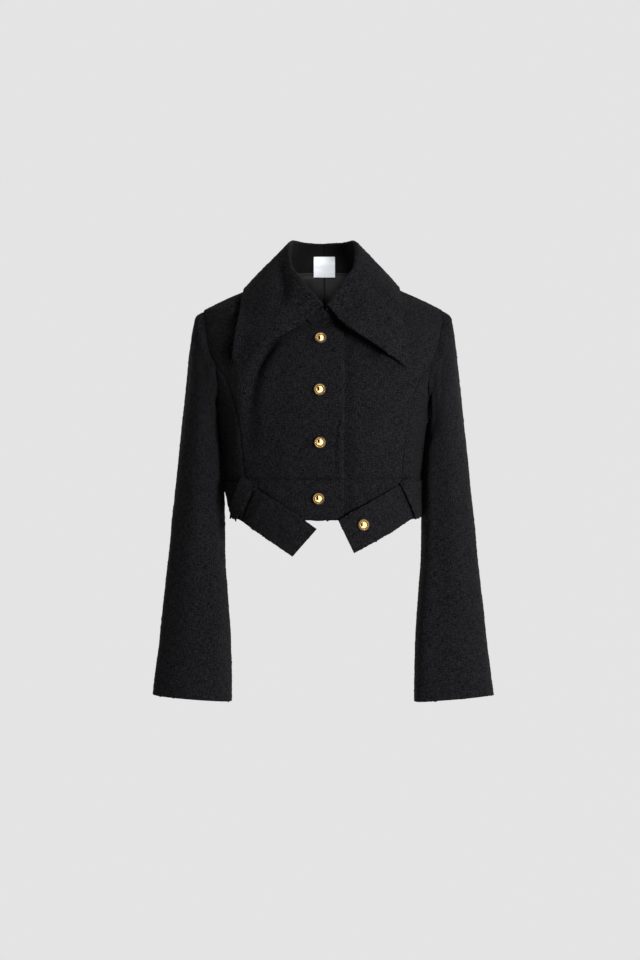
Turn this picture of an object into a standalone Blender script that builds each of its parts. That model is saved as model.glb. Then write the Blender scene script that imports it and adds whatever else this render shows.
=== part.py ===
"""A cropped tweed jacket, hollow as it is worn: princess-line body, waistband, bell sleeves, wing collar, belt.

The frame is in metres with +Z up. The front faces -Y and the wearer's left is +X. The origin lies midway between
the shoulders, level with the points where the shoulder seams meet the neckline. Lengths below are millimetres.

The cloth follows one surface, which is a stack of rounded sections. A place on it is a turn (degrees from the
centre front towards the wearer's left) and a height. Panels are cut out of that surface along their seams, and
what lies over it (band, belt, loops, buttons, collar edge) is the same surface moved out by a lift.
"""

import math
from bisect import bisect_right
from collections import namedtuple

import bpy
from mathutils import Vector

MM = 0.001
UP = Vector((0, 0, 1))
RIGHT, LEFT = -1, 1  # the wearer's sides, as the sign of x

# Driving sizes
SEAM = 0.3  # gap between two pieces that are sewn together
WALL = 2.7  # tweed with its interfacing and lining
SHOULDER_TIP = -63  # heights from here down are below the neck points
PRINCESS_TOP = -150
UNDERARM = -215
WAIST = -337.3
HEM = -404
NECK_HALF_WIDTH = 62
NECK_BACK_DEPTH = 56
NECK_FRONT_DEPTH = 78
NECK_FRONT = -86
LAP = 34  # the right front passes the centre by this, over the left one
UNDERLAP = 43
UNDERLAP_LIFT = -3.4
FRONT_ROWS = (-318, -298, -277, -256, -235, UNDERARM, -209, -198, -184, -168, PRINCESS_TOP, -133, -117, -103,
              NECK_FRONT, -82, -76, -68, SHOULDER_TIP, -53, -42, -31, -20, -10, 0)
BACK_COLUMNS = 20

# The body's sections. A power of 2 is an ellipse, a higher one is squarer and a lower one comes to a ridge.
Section = namedtuple("Section", "height half_width front_depth front_power back_depth back_power shift")
BODY = [
    Section(0, 62, 20, 1.35, 56, 2.0, 0),
    Section(-20, 107.5, 42, 1.38, 66, 1.5, 0),
    Section(-34, 139, 54, 1.4, 74.5, 1.5, 0),
    Section(-42.5, 158, 60, 1.42, 79, 1.51, 0),
    Section(-52, 178, 63.5, 1.5, 81.5, 1.57, 0),
    Section(-63, 197, 67, 1.57, 84, 1.65, 0),
    Section(-72, 199.3, 70.5, 1.66, 87, 1.73, 0),
    Section(-86, 200.4, 78, 1.8, 92.5, 1.86, 0),
    Section(-100, 201, 92, 1.95, 97, 1.98, 0),
    Section(-120, 200, 103, 2.1, 103, 2.1, 0),
    Section(-140, 197, 112, 2.15, 106, 2.2, 0),
    Section(-160, 193, 117, 2.2, 108, 2.3, 0),
    Section(-190, 186, 122, 2.28, 107, 2.3, 0),
    Section(-215, 178, 123.3, 2.3, 105, 2.3, 0),
    Section(-240, 171.5, 121, 2.3, 100, 2.3, 0.5),
    Section(-270, 165.5, 114, 2.3, 95, 2.3, 1),
    Section(-300, 163, 106, 2.3, 90.5, 2.3, 0.5),
    Section(-337, 159, 98, 2.3, 86, 2.3, 0.5),
    Section(-372, 155.5, 100, 2.3, 89, 2.3, 2.5),
    Section(-404, 154.5, 103, 2.3, 92, 2.3, 5),
    Section(-470, 156, 107, 2.3, 96, 2.3, 5),
]

# Seam lines, as the distance from the centre at each height
Seam = namedtuple("Seam", "height x")
ARMHOLE = [Seam(-63, 197), Seam(-76, 195.5), Seam(-97, 192.3), Seam(-114, 189), Seam(-132, 184.5),
           Seam(-150, 176), Seam(-168, 174), Seam(-184, 172), Seam(-198, 172.5), Seam(-209, 175), Seam(-215, 178)]
PRINCESS = [Seam(-150, 176), Seam(-168, 163.5), Seam(-184, 154.5), Seam(-215, 143.5), Seam(-245, 136.5),
            Seam(-271, 133), Seam(-313, 131), Seam(-338, 129)]

# The long fold that drops from under the right wing of the collar towards the waist
Fold = namedtuple("Fold", "height x depth")
CHEST_FOLD = [Fold(-98, -72, 0), Fold(-122, -86, 5), Fold(-147, -101, 8), Fold(-178, -111, 8.5),
              Fold(-210, -117, 7), Fold(-261, -119, 3.5), Fold(-300, -119, 0)]
CHEST_FOLD_WIDTH = 11


class Curve:
    """A smooth line through one column of a table, which never swings past its rows."""

    def __init__(self, table, key, column):
        rows = sorted((getattr(row, key), getattr(row, column)) for row in table)
        self.places, self.values = zip(*rows)
        rises = [(b[1] - a[1]) / (b[0] - a[0]) for a, b in zip(rows, rows[1:])]
        inner = [2 * a * b / (a + b) if a * b > 0 else 0 for a, b in zip(rises, rises[1:])]
        self.slopes = [rises[0], *inner, rises[-1]]

    def __call__(self, place):
        i = min(max(bisect_right(self.places, place) - 1, 0), len(self.places) - 2)
        if not self.places[0] <= place <= self.places[-1]:
            end = 0 if place < self.places[0] else -1
            return self.values[end] + self.slopes[end] * (place - self.places[end])
        step = self.places[i + 1] - self.places[i]
        part = (place - self.places[i]) / step
        start = self.values[i] * (1 + 2 * part) + self.slopes[i] * step * part
        finish = self.values[i + 1] * (3 - 2 * part) + self.slopes[i + 1] * step * (part - 1)
        return start * (1 - part) ** 2 + finish * part ** 2


half_width, front_depth, front_power, back_depth, back_power, shift = (
    Curve(BODY, "height", column) for column in Section._fields[1:])
armhole_x = Curve(ARMHOLE, "height", "x")
princess_x = Curve(PRINCESS, "height", "x")
fold_x = Curve(CHEST_FOLD, "height", "x")
fold_depth = Curve(CHEST_FOLD, "height", "depth")


def eased(part):
    """0 to 1 with level ends."""
    part = min(max(part, 0), 1)
    return part * part * (3 - 2 * part)


def spread(start, end, steps):
    return [start + (end - start) * i / steps for i in range(steps + 1)]


def section(turn, height):
    """A point on the outer face of the cloth."""
    across, ahead = math.sin(math.radians(turn)), math.cos(math.radians(turn))
    if ahead > 0:
        depth, power = front_depth(height), front_power(height)
    else:
        depth, power = back_depth(height), back_power(height)
    reach = (abs(across) ** power + abs(ahead) ** power) ** (-1 / power)
    point = Vector((shift(height) + half_width(height) * reach * across, -depth * reach * ahead, height))
    if ahead > 0 and CHEST_FOLD[-1].height < height < CHEST_FOLD[0].height:
        point.y += fold_depth(height) * math.exp(-((point.x - fold_x(height)) / CHEST_FOLD_WIDTH) ** 2)
    return point


def cloth(turn, height, lift=0.0):
    """The outer face moved out by lift, as a point and its outward normal."""
    along = section(turn + 0.25, height) - section(turn - 0.25, height)
    upward = section(turn, height + 0.5) - section(turn, height - 0.5)
    normal = along.cross(upward).normalized()
    return section(turn, height) + normal * lift, normal


def turn_at(x, height, back=False):
    """The turn where the section has this x, on the front or on the back."""
    low, high = -90.0, 90.0
    for _ in range(40):
        middle = (low + high) / 2
        if section(180 - middle if back else middle, height).x < x:
            low = middle
        else:
            high = middle
    return 180 - low if back else low


def turn_of(point):
    """The turn of a point near the cloth."""
    depth = front_depth(point.z) if point.y < 0 else back_depth(point.z)
    x = (point.x - shift(point.z)) / half_width(point.z)
    return math.degrees(math.atan2(x, -point.y / depth))


def beside(turn, height, distance):
    """The turn a short distance along the section from another."""
    per_degree = (section(turn + 0.25, height) - section(turn - 0.25, height)).length / 0.5
    return turn + distance / per_degree


def neckline_turn(height):
    """The turn where the front neckline, an upright ellipse seen from above, crosses the section."""
    low, high = 0.0, 90.0
    for _ in range(40):
        middle = (low + high) / 2
        point = section(middle, height)
        if (point.x / NECK_HALF_WIDTH) ** 2 + (point.y / NECK_FRONT_DEPTH) ** 2 < 1:
            low = middle
        else:
            high = middle
    return high


def underlap_lift(x, height):
    """How far the left front sinks where it passes under the right one."""
    return UNDERLAP_LIFT * eased((62 - x) / 24) * eased((-60 - height) / 24)


def finish(name, colour, roughness, metallic=0.0):
    material = bpy.data.materials.new(name)
    material.use_nodes = True
    shader = material.node_tree.nodes["Principled BSDF"]
    shader.inputs["Base Color"].default_value = (*colour, 1)
    shader.inputs["Roughness"].default_value = roughness
    shader.inputs["Metallic"].default_value = metallic
    material.diffuse_color = (*colour, 1)
    return material


def add_object(name, mesh, material):
    mesh.materials.append(material)
    piece = bpy.data.objects.new(name, mesh)
    bpy.data.collections["Cropped tweed jacket"].objects.link(piece)
    return piece


def grid_normals(rows, closed=False, facing=1):
    """Pair each point of a grid with its normal, along the columns crossed with along the rows."""
    pairs = []
    for r, row in enumerate(rows):
        below, above = rows[max(r - 1, 0)], rows[min(r + 1, len(rows) - 1)]
        last = len(row) - 1
        line = []
        for c, point in enumerate(row):
            before = row[c - 1] if closed or c else point
            after = row[(c + 1) % len(row)] if closed or c < last else point
            line.append((point, (after - before).cross(above[c] - below[c]).normalized() * facing))
        pairs.append(line)
    return pairs


def split(face, points):
    """A face with four corners as two triangles, across its shorter diagonal."""
    if len(face) == 3:
        return [face]
    a, b, c, d = face
    if (points[2] - points[0]).length < (points[3] - points[1]).length:
        return [(a, b, c), (a, c, d)]
    return [(a, b, d), (b, c, d)]


def wall(name, patches, thickness, material, closed=False):
    """A cloth wall: a face over each grid of points and normals, the same one thickness in, and the rims."""
    index_of, corners, faces = {}, [], []
    for rows in patches:
        grid = []
        for row in rows:
            line = []
            for point, normal in row:
                key = tuple(round(value, 3) for value in point)
                if key not in index_of:
                    index_of[key] = len(corners)
                    corners.append((point, normal))
                line.append(index_of[key])
            grid.append(line)
        columns = len(grid[0]) if closed else len(grid[0]) - 1
        for low, high in zip(grid, grid[1:]):
            for c in range(columns):
                after = (c + 1) % len(low)
                face = list(dict.fromkeys((low[c], low[after], high[after], high[c])))
                if len(face) < 3:
                    continue
                points = [corners[i][0] for i in face]
                facing = (points[2] - points[0]).cross(points[-1] - points[1])
                if facing.dot(corners[face[0]][1] + corners[face[2]][1]) < 0:
                    face.reverse()
                    points.reverse()
                faces += split(face, points)
    count = len(corners)
    edges = {edge for a, b, c in faces for edge in ((a, b), (b, c), (c, a))}
    rims = [(b, a, a + count, b + count) for a, b in sorted(edges) if (b, a) not in edges]
    inner = [(c + count, b + count, a + count) for a, b, c in faces]
    places = [point * MM for point, _ in corners] + [(point - normal * thickness) * MM for point, normal in corners]
    mesh = bpy.data.meshes.new(name)
    mesh.from_pydata(places, [], faces + inner + rims)
    mesh.shade_smooth()
    return add_object(name, mesh, material)


# Body panels

def between_seams(height, begin, end, columns, insets, lift_at=None):
    """A row of cloth from one seam to another, held back from each by an inset but square to the seam itself."""
    turns = spread(beside(begin, height, insets[0]), beside(end, height, insets[1]), columns)
    row = [cloth(turn, height, lift_at(turn, height) if lift_at else 0) for turn in turns]
    row[0] = (row[0][0], cloth(begin, height)[1])
    row[-1] = (row[-1][0], cloth(end, height)[1])
    return row


def front_turns(side, height):
    """Where a centre front begins (centre or neckline) and ends (princess seam, armhole or shoulder seam)."""
    begin = side * neckline_turn(height) if height > NECK_FRONT else turn_at(0, height)
    if height >= SHOULDER_TIP:
        return begin, side * 90
    seam_x = armhole_x(height) if height >= PRINCESS_TOP else princess_x(height)
    return begin, turn_at(side * seam_x, height)


def add_centre_front(name, side, columns, material):
    """A centre front with its lap, which runs on past the centre below the neckline."""
    heights = (WAIST + SEAM / 2, *FRONT_ROWS)
    past_centre = LAP if side == RIGHT else UNDERLAP

    def lift_at(turn, height):
        return underlap_lift(section(turn, height).x, height) if side == LEFT else 0

    main, lap = [], []
    for height in heights:
        insets = (0, -side * SEAM / 2) if height < 0 else (-side * SEAM / 2,) * 2
        main.append(between_seams(height, *front_turns(side, height), columns, insets, lift_at))
        if height <= NECK_FRONT:
            reach = past_centre - (7 if height == NECK_FRONT else 0)  # the lap's top corner is rounded off
            turns = [turn_at(-side * x, height) for x in spread(0, reach, 3)]
            lap.append([cloth(turn, height, lift_at(turn, height)) for turn in turns])
    return wall(name, (main, lap), WALL, material)


def add_side_front(name, side, material):
    """The panel between the princess seam and the armhole or side seam, which ends in a point at its top."""
    rows = []
    for height in (WAIST + SEAM / 2, *(row for row in FRONT_ROWS if row < PRINCESS_TOP)):
        begin = turn_at(side * princess_x(height), height)
        end = turn_at(side * armhole_x(height), height) if height > UNDERARM else side * 90
        rows.append(between_seams(height, begin, end, 4, (side * SEAM / 2, -side * SEAM / 2)))
    apex = PRINCESS_TOP - 3
    apex_x = (princess_x(apex) + armhole_x(apex)) / 2
    rows.append([cloth(turn_at(side * apex_x, apex), apex)] * len(rows[0]))
    return wall(name, [rows], WALL, material)


def back_turns(height):
    """The turns of the back's two long edges: shoulder seams, armholes, then side seams."""
    if UNDERARM < height < SHOULDER_TIP:
        return [turn_at(side * armhole_x(height), height, back=True) for side in (LEFT, RIGHT)]
    return 90, 270


def add_back(material):
    rows = [between_seams(height, *back_turns(height), BACK_COLUMNS, (SEAM / 2, -SEAM / 2))
            for height in (WAIST + SEAM / 2, *FRONT_ROWS)]
    return wall("back", [rows], WALL, material)


def add_lining_back(material):
    """The lining inside the back, with the ease pleat that runs down its middle."""
    thickness, edge_inset, play, pleat_depth = 1.0, 10.0, 0.9, 2.4
    heights = (-335, -318, -298, -277, -256, -235, -209, -198, -184, -168, -150, -133, -117, -103, -86, -76, -63, -53,
               -42, -31, -20, -12, -5)
    rows = []
    for height in heights:
        left, right = back_turns(height)
        left, right = beside(left, height, edge_inset), beside(right, height, -edge_inset)
        middle = turn_at(3, height, back=True)
        pleat = [beside(middle, height, step) for step in (-7, -1.2, 1.2, 7)]
        turns = spread(left, pleat[0], 7) + pleat[1:3] + spread(pleat[3], right, 7)
        depths = [0] * 8 + [pleat_depth] * 2 + [0] * 8
        rows.append([cloth(turn, height, -WALL - play - depth) for turn, depth in zip(turns, depths)])
    return wall("lining_back", [rows], thickness, material)


def add_waistband(material):
    """One band from the underlap, round the back, to the lap that buttons over it."""
    rows = []
    for height in (HEM, -387, -370, -353, WAIST - SEAM / 2):
        turns = spread(turn_at(-UNDERLAP, height), 360 + turn_at(LAP, height), 58)
        row = []
        for turn in turns:
            lift = underlap_lift(section(turn, height).x, height) if turn < 90 else 0
            row.append(cloth(turn, height, lift))
        rows.append(row)
    return wall("waistband", [rows], WALL, material)


# Sleeves: rings between an outer and an inner point, from the armhole (its own outline) down to the cuff

Ring = namedtuple("Ring", "outer_x outer_z inner_x inner_z half_depth centre_y roundness")
SLEEVE = [
    Ring(209, -72, 181, -221, 58, 0, 0.15),
    Ring(214, -92, 177.5, -231, 60, 1, 0.35),
    Ring(219, -120, 175, -243, 61, 2, 0.6),
    Ring(223, -155, 172.5, -256, 61, 5, 0.85),
    Ring(227, -195, 169.5, -276, 60, 8, 1),
    Ring(232, -240, 167.5, -300, 59, 11, 1),
    Ring(238, -295, 166.5, -330, 57, 15, 1),
    Ring(243.5, -350, 165.5, -368, 55.5, 19, 1),
    Ring(250, -405, 165, -412, 54, 21, 1),
    Ring(255, -460, 163.5, -463, 51, 20, 1),
    Ring(261, -515, 160, -515, 48.5, 16, 1),
    Ring(267, -570, 155.5, -570, 46.5, 11, 1),
    Ring(273, -625, 152.5, -627, 45.5, 5, 1),
    Ring(279, -670, 150.5, -675, 44.5, 1, 1),
    Ring(282, -693.5, 150, -705, 44, 0, 1),
]


def armhole_ring(side):
    """The armhole, from the shoulder tip down the front and up the back, as points and the body's normals."""
    heights = sorted((row for row in FRONT_ROWS if UNDERARM <= row <= SHOULDER_TIP), reverse=True)
    ring = [cloth(side * 90 if height == SHOULDER_TIP else turn_at(side * armhole_x(height), height), height)
            for height in heights]
    ring += [cloth(turn_at(side * armhole_x(height), height, back=True), height) for height in heights[-2:0:-1]]
    return [(point + Vector((side * 1.5 * SEAM, 0, 0)), normal) for point, normal in ring]


def add_sleeve(name, side, material):
    armhole = armhole_ring(side)
    count = len(armhole)
    top, bottom = armhole[0][0], armhole[count // 2][0]
    centre, half = (top + bottom) / 2, (top - bottom) / 2
    sideways = Vector((-half.z, 0, half.x)).normalized()
    depth = max(abs(point.y) for point, _ in armhole)
    rows = [[point for point, _ in armhole]]
    for ring in SLEEVE:
        outer = Vector((side * ring.outer_x, ring.centre_y, ring.outer_z))
        inner = Vector((side * ring.inner_x, ring.centre_y, ring.inner_z))
        middle, reach = (outer + inner) / 2, (outer - inner) / 2
        ring_sideways = Vector((-reach.z, 0, reach.x)).normalized()
        row = []
        for i, (point, _) in enumerate(armhole):
            angle = 2 * math.pi * i / count
            own = (point - centre).dot(half) / half.length_squared, point.y / depth
            along = own[0] * (1 - ring.roundness) + math.cos(angle) * ring.roundness
            deep = own[1] * (1 - ring.roundness) - math.sin(angle) * ring.roundness
            twist = (point - centre).dot(sideways) * (1 - ring.roundness)
            row.append(middle + reach * along + Vector((0, ring.half_depth * deep, 0)) + ring_sideways * twist)
        rows.append(row)
    pairs = grid_normals(rows, closed=True, facing=side)
    # At the seam the wall stands square to the body above and square to the sleeve at the underarm
    for i, (point, body_normal) in enumerate(armhole):
        share = eased((point.z + 205) / 40)
        normal = (pairs[0][i][1] * (1 - share) + body_normal * share).normalized()
        pairs[0][i] = (point, normal)
    return wall(name, [pairs], WALL, material, closed=True)


# Collar: one piece that stands up from the neckline, rolls over and falls to its outer edge, with pointed wings.
# Angles run from the centre back (0) to the centre front (180).

Place = namedtuple("Place", "angle x y z")
ROLL_LINE = [Place(0, 0, 60, 51), Place(30, 29, 51.5, 52.5), Place(45, 42, 42, 54.5), Place(60, 49, 30, 55),
             Place(75, 54.5, 15.5, 52), Place(90, 57, 0, 45.5), Place(105, 56, -18, 30), Place(120, 52, -36, 12),
             Place(135, 42, -50, -3), Place(150, 29, -61, -19), Place(165, 15, -70, -37), Place(180, 1.6, -79, -55)]
OUTER_EDGE = [Place(0, 0, 85, -42), Place(30, 65, 72, -44), Place(45, 92, 61, -44.5), Place(60, 112, 45, -40),
              Place(75, 123, 21, -33), Place(90, 127.5, 0, -27.5), Place(112, 131, -32, -54),
              Place(135, 133, -57, -90)]
WING_TIP = {RIGHT: Place(180, 147, -88, -148), LEFT: Place(180, 136, -94, -152)}
OUTER_REACH = {RIGHT: 1.01, LEFT: 0.98}  # the collar sits a little towards the wearer's right
COLLAR_WALL = 3
ROLL_RADIUS = 4.5
FALL_BULGE = 1.5
REST_GAP = 1.0  # between the fall's underside and the body
WING_GAP = 4.0  # as much more under the tips of the wings


def neckline(side):
    """The neckline of one half from the centre front to the neck point, as points and collar angles."""
    places = []
    for height in (row for row in FRONT_ROWS if NECK_FRONT <= row < 0):
        turn = front_turns(side, height)[0]
        point = section(turn, height)
        lift = underlap_lift(point.x, height) if side == LEFT else 0
        angle = 180 - math.degrees(math.atan2(abs(point.x) / NECK_HALF_WIDTH, -point.y / NECK_FRONT_DEPTH))
        places.append((cloth(turn, height, lift)[0], angle))
    (centre, centre_angle), (second, second_angle) = places[:2]
    places[0] = (centre.lerp(second, 0.1), centre_angle + (second_angle - centre_angle) * 0.1)
    return places


def clear_of_cloth(point, gap):
    """Move a point out until it lies at least about this gap from the body."""
    if point.z > -1:
        return point
    face, normal = cloth(turn_of(point), point.z)
    distance = (point - face).dot(normal)
    wanted = (distance + gap + math.hypot(distance - gap, 1.5)) / 2
    return point + normal * (wanted - distance)


def collar_profile(side, base, angle):
    """Points up the inside of the stand, over the roll and down the fall, for a base on the neckline."""
    roll = {axis: Curve(ROLL_LINE, "angle", axis) for axis in "xyz"}
    edge = {axis: Curve(OUTER_EDGE + [WING_TIP[side]], "angle", axis) for axis in "xyz"}
    roll_at = lambda a: Vector([roll[axis](a) for axis in "xyz"])
    base = Vector((abs(base.x), base.y, base.z))
    neck_depth = NECK_FRONT_DEPTH if base.y < 0 else NECK_BACK_DEPTH
    outward = Vector((base.x / NECK_HALF_WIDTH ** 2, base.y / neck_depth ** 2, 0)).normalized()
    foot = base - outward * (SEAM + COLLAR_WALL) + UP * 2 * SEAM
    along = (roll_at(angle + 1) - roll_at(angle - 1)).normalized()
    out = (outward - along * outward.dot(along)).normalized()
    top = along.cross(out)
    axis = roll_at(angle) - top * ROLL_RADIUS
    tip = Vector([edge[axis_name](angle) for axis_name in "xyz"])
    tip.x *= OUTER_REACH[side]
    gap = COLLAR_WALL + REST_GAP
    wing_gap = WING_GAP * eased((angle - 95) / 60)
    tip = clear_of_cloth(tip, gap + wing_gap)
    fall_angle = math.atan2(-(tip - axis).dot(top), (tip - axis).dot(out))
    points = [foot.lerp(axis - out * ROLL_RADIUS, part) for part in (0, 0.33, 0.67)]
    for theta in spread(math.pi, math.pi / 2 - fall_angle, 4):
        points.append(axis + (out * math.cos(theta) + top * math.sin(theta)) * ROLL_RADIUS)
    leave, bulge = points[-1], (points[-1] - axis).normalized() * FALL_BULGE
    for part in (0.14, 0.3, 0.46, 0.62, 0.78, 0.9, 1):
        point = leave.lerp(tip, part) + bulge * math.sin(math.pi * part)
        points.append(clear_of_cloth(point, gap + wing_gap * part))
    return [Vector((side * point.x, point.y, point.z)) for point in points]


def add_collar(material):
    halves = {side: [collar_profile(side, point, angle) for point, angle in neckline(side)]
              for side in (RIGHT, LEFT)}
    back = []
    for turn in spread(270, 90, BACK_COLUMNS):
        point = section(turn, 0)
        angle = math.degrees(math.atan2(abs(point.x) / NECK_HALF_WIDTH, point.y / NECK_BACK_DEPTH))
        back.append(collar_profile(RIGHT if turn > 180 else LEFT, point, angle))
    columns = halves[RIGHT] + back + halves[LEFT][::-1]
    rows = [list(row) for row in zip(*columns)]
    return wall("collar", [grid_normals(rows)], COLLAR_WALL, material)


# Belt, loops, buttons and label

Station = namedtuple("Station", "turn height lift")
BELT_WIDTH = 60
BELT_BUTTON_COLUMN = 2  # of the belt's face, counted from the end on the wearer's left
BELT_WALL = 3
BELT = [Station(12.6, -432, 9), Station(24.1, -415, 7.5), Station(37, -396.5, 5), Station(53, -377.5, 3.7),
        Station(62, -373.5, 3.7), Station(90, -371, 3.7), Station(120, -370.5, 3.7), Station(180, -370, 3.7),
        Station(240, -370.5, 3.7), Station(270, -371, 3.7), Station(298, -374, 3.7), Station(307.5, -379, 3.7),
        Station(321.8, -398.5, 5), Station(335.2, -420.5, 7.5), Station(346.9, -441, 9)]
LOOP_WIDTH = 25
LOOP_WALL = 2
LOOP = [Station(0, -338.2, 2.4), Station(0, -341, 4), Station(0, -344.5, 7.6), Station(0, -362, 8.2),
        Station(0, -380, 8.2), Station(0, -391, 8.2), Station(0, -399, 8), Station(0, -402.5, 7)]
LOOP_ENDS = {RIGHT: (-123, -143), LEFT: (133, 151)}  # x of the middle at the top and at the bottom


def strip(stations, width, steps):
    """A band laid over the cloth along its stations, as rows from its lower edge to its upper one."""
    middle = [cloth(*station) for station in stations]
    columns = []
    for i, (centre, normal) in enumerate(middle):
        before, after = middle[max(i - 1, 0)][0], middle[min(i + 1, len(middle) - 1)][0]
        across = normal.cross((after - before).normalized()).normalized()
        column = []
        for offset in spread(-width / 2, width / 2, steps):
            point = centre + across * offset
            column.append(cloth(turn_of(point), point.z, stations[i].lift)[0])
        columns.append(column)
    return [list(row) for row in zip(*columns)]


def belt_face():
    """One strap round the back and through both loops, with its two square ends hanging free in front."""
    height, lift = Curve(BELT, "turn", "height"), Curve(BELT, "turn", "lift")
    stations = [Station(turn, height(turn), lift(turn)) for turn in spread(BELT[0].turn, BELT[-1].turn, 60)]
    return grid_normals(strip(stations, BELT_WIDTH, 4))


def add_belt_loop(name, side, material):
    first, last = LOOP[0].height, LOOP[-1].height
    top_x, bottom_x = LOOP_ENDS[side]
    stations = []
    for station in LOOP:
        x = top_x + (bottom_x - top_x) * (station.height - first) / (last - first)
        stations.append(station._replace(turn=turn_at(x, station.height)))
    rows = strip(stations, LOOP_WIDTH, 3)
    return wall(name, [grid_normals(rows)], LOOP_WALL, material)


# A button's half outline: distance from its axis, and height over the cloth
Turned = namedtuple("Turned", "radius height")
BUTTON = [Turned(0, 7.2), Turned(3.4, 6.7), Turned(6, 5.5), Turned(7.1, 4.7), Turned(8.6, 5.2), Turned(9.8, 4.2),
          Turned(9.9, 2.9), Turned(8.4, 1.9), Turned(2.6, 1.9), Turned(2.6, 0), Turned(0, 0)]
FRONT_BUTTONS = [(-3.5, -104), (-5, -189), (-4.5, -277), (-6.5, -370)]  # x and height


def add_button(name, point, normal, material):
    """A domed button with a raised rim, on a short shank."""
    mesh = bpy.data.meshes.new(name)
    edges = [(i, i + 1) for i in range(len(BUTTON) - 1)]
    mesh.from_pydata([(spot.radius * MM, 0, spot.height * MM) for spot in BUTTON], edges, [])
    button = add_object(name, mesh, material)
    turning = button.modifiers.new("Turned", "SCREW")
    turning.axis = "Z"
    turning.steps = turning.render_steps = 18
    turning.use_merge_vertices = True
    turning.merge_threshold = 0.00001
    button.location = (point + normal * SEAM) * MM
    button.rotation_euler = normal.to_track_quat("Z", "Y").to_euler()
    return button


def add_label(material):
    """A blank cloth label, caught on the inside of the collar stand and hanging over the lining."""
    left, right, top, bottom, thickness = -14, 21.5, 28, -10.7, 0.8
    rows = []
    for height in spread(bottom, top, 3):
        row = []
        for x in spread(right, left, 4):
            inside = NECK_BACK_DEPTH - COLLAR_WALL - SEAM
            y = inside * math.sqrt(1 - (x / (NECK_HALF_WIDTH - COLLAR_WALL)) ** 2) - 1 + 0.03 * height
            row.append(Vector((x, y, height)))
        rows.append(row)
    return wall("neck_label", [grid_normals(rows)], thickness, material)


def build():
    for piece in list(bpy.data.objects):
        bpy.data.objects.remove(piece)
    jacket = bpy.data.collections.new("Cropped tweed jacket")
    bpy.context.scene.collection.children.link(jacket)

    tweed = finish("black tweed", (0.012, 0.012, 0.013), 0.95)
    lining = finish("charcoal satin lining", (0.03, 0.03, 0.032), 0.5)
    label = finish("white satin label", (0.8, 0.82, 0.84), 0.6)
    gold = finish("polished gold", (0.83, 0.6, 0.25), 0.2, 1.0)

    add_centre_front("front_right", RIGHT, 14, tweed)
    add_centre_front("front_left", LEFT, 11, tweed)
    add_side_front("side_front_right", RIGHT, tweed)
    add_side_front("side_front_left", LEFT, tweed)
    add_back(tweed)
    add_waistband(tweed)
    add_sleeve("sleeve_right", RIGHT, tweed)
    add_sleeve("sleeve_left", LEFT, tweed)
    add_collar(tweed)
    belt = belt_face()
    wall("belt", [belt], BELT_WALL, tweed)
    add_belt_loop("belt_loop_right", RIGHT, tweed)
    add_belt_loop("belt_loop_left", LEFT, tweed)
    add_lining_back(lining)
    add_label(label)
    for number, (x, height) in enumerate(FRONT_BUTTONS, start=1):
        add_button(f"button_{number}", *cloth(turn_at(x, height), height), gold)
    add_button("belt_button", *belt[len(belt) // 2][BELT_BUTTON_COLUMN], gold)


build()
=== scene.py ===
"""How a cropped black tweed jacket looks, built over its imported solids.

The frame is the solids' own: metres in the meshes, +Z up, the front facing -Y and the wearer's left at +X.
Lengths below are millimetres. A place on the body's cloth is a turn (degrees from the centre front towards
the wearer's left) and a height. Rows of a grid run upwards and its columns run with the turn, so that its
faces look out.
"""

from collections import namedtuple

import bpy
import numpy as np
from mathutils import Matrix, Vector


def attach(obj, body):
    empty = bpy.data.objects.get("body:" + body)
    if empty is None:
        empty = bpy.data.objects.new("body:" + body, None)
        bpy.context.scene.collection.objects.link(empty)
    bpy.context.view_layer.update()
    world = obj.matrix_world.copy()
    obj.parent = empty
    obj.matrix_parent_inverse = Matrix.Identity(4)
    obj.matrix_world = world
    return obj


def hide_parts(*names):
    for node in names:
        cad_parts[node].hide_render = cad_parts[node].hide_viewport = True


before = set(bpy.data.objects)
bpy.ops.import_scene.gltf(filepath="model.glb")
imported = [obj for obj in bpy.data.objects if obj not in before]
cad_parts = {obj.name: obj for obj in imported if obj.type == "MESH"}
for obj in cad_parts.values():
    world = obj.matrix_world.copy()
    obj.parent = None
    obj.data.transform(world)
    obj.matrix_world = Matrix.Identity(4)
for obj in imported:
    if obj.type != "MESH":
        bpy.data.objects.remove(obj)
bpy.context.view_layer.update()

MM = 0.001


# The body's form
# The cut and the interfacing hold the cloth to one hollow shape, a stack of rounded sections from hem to
# neck. Every panel is a part of it, and what lies over a panel is the same shape moved out.

SEAM = -0.3  # between two pieces that are sewn together, whose turned edges press into each other
WALL = 2.7  # tweed with its interfacing and lining
SHOULDER_TIP = -63  # heights, below the points where the shoulder seams meet the neckline
PRINCESS_TOP = -150
UNDERARM = -215
WAIST = -337.3
HEM = -404
NECK_HALF_WIDTH = 62
NECK_BACK_DEPTH = 56
NECK_FRONT_DEPTH = 78
NECK_FRONT = -86
LAP = 34
UNDERLAP = 43
UNDERLAP_LIFT = -4.8

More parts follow.
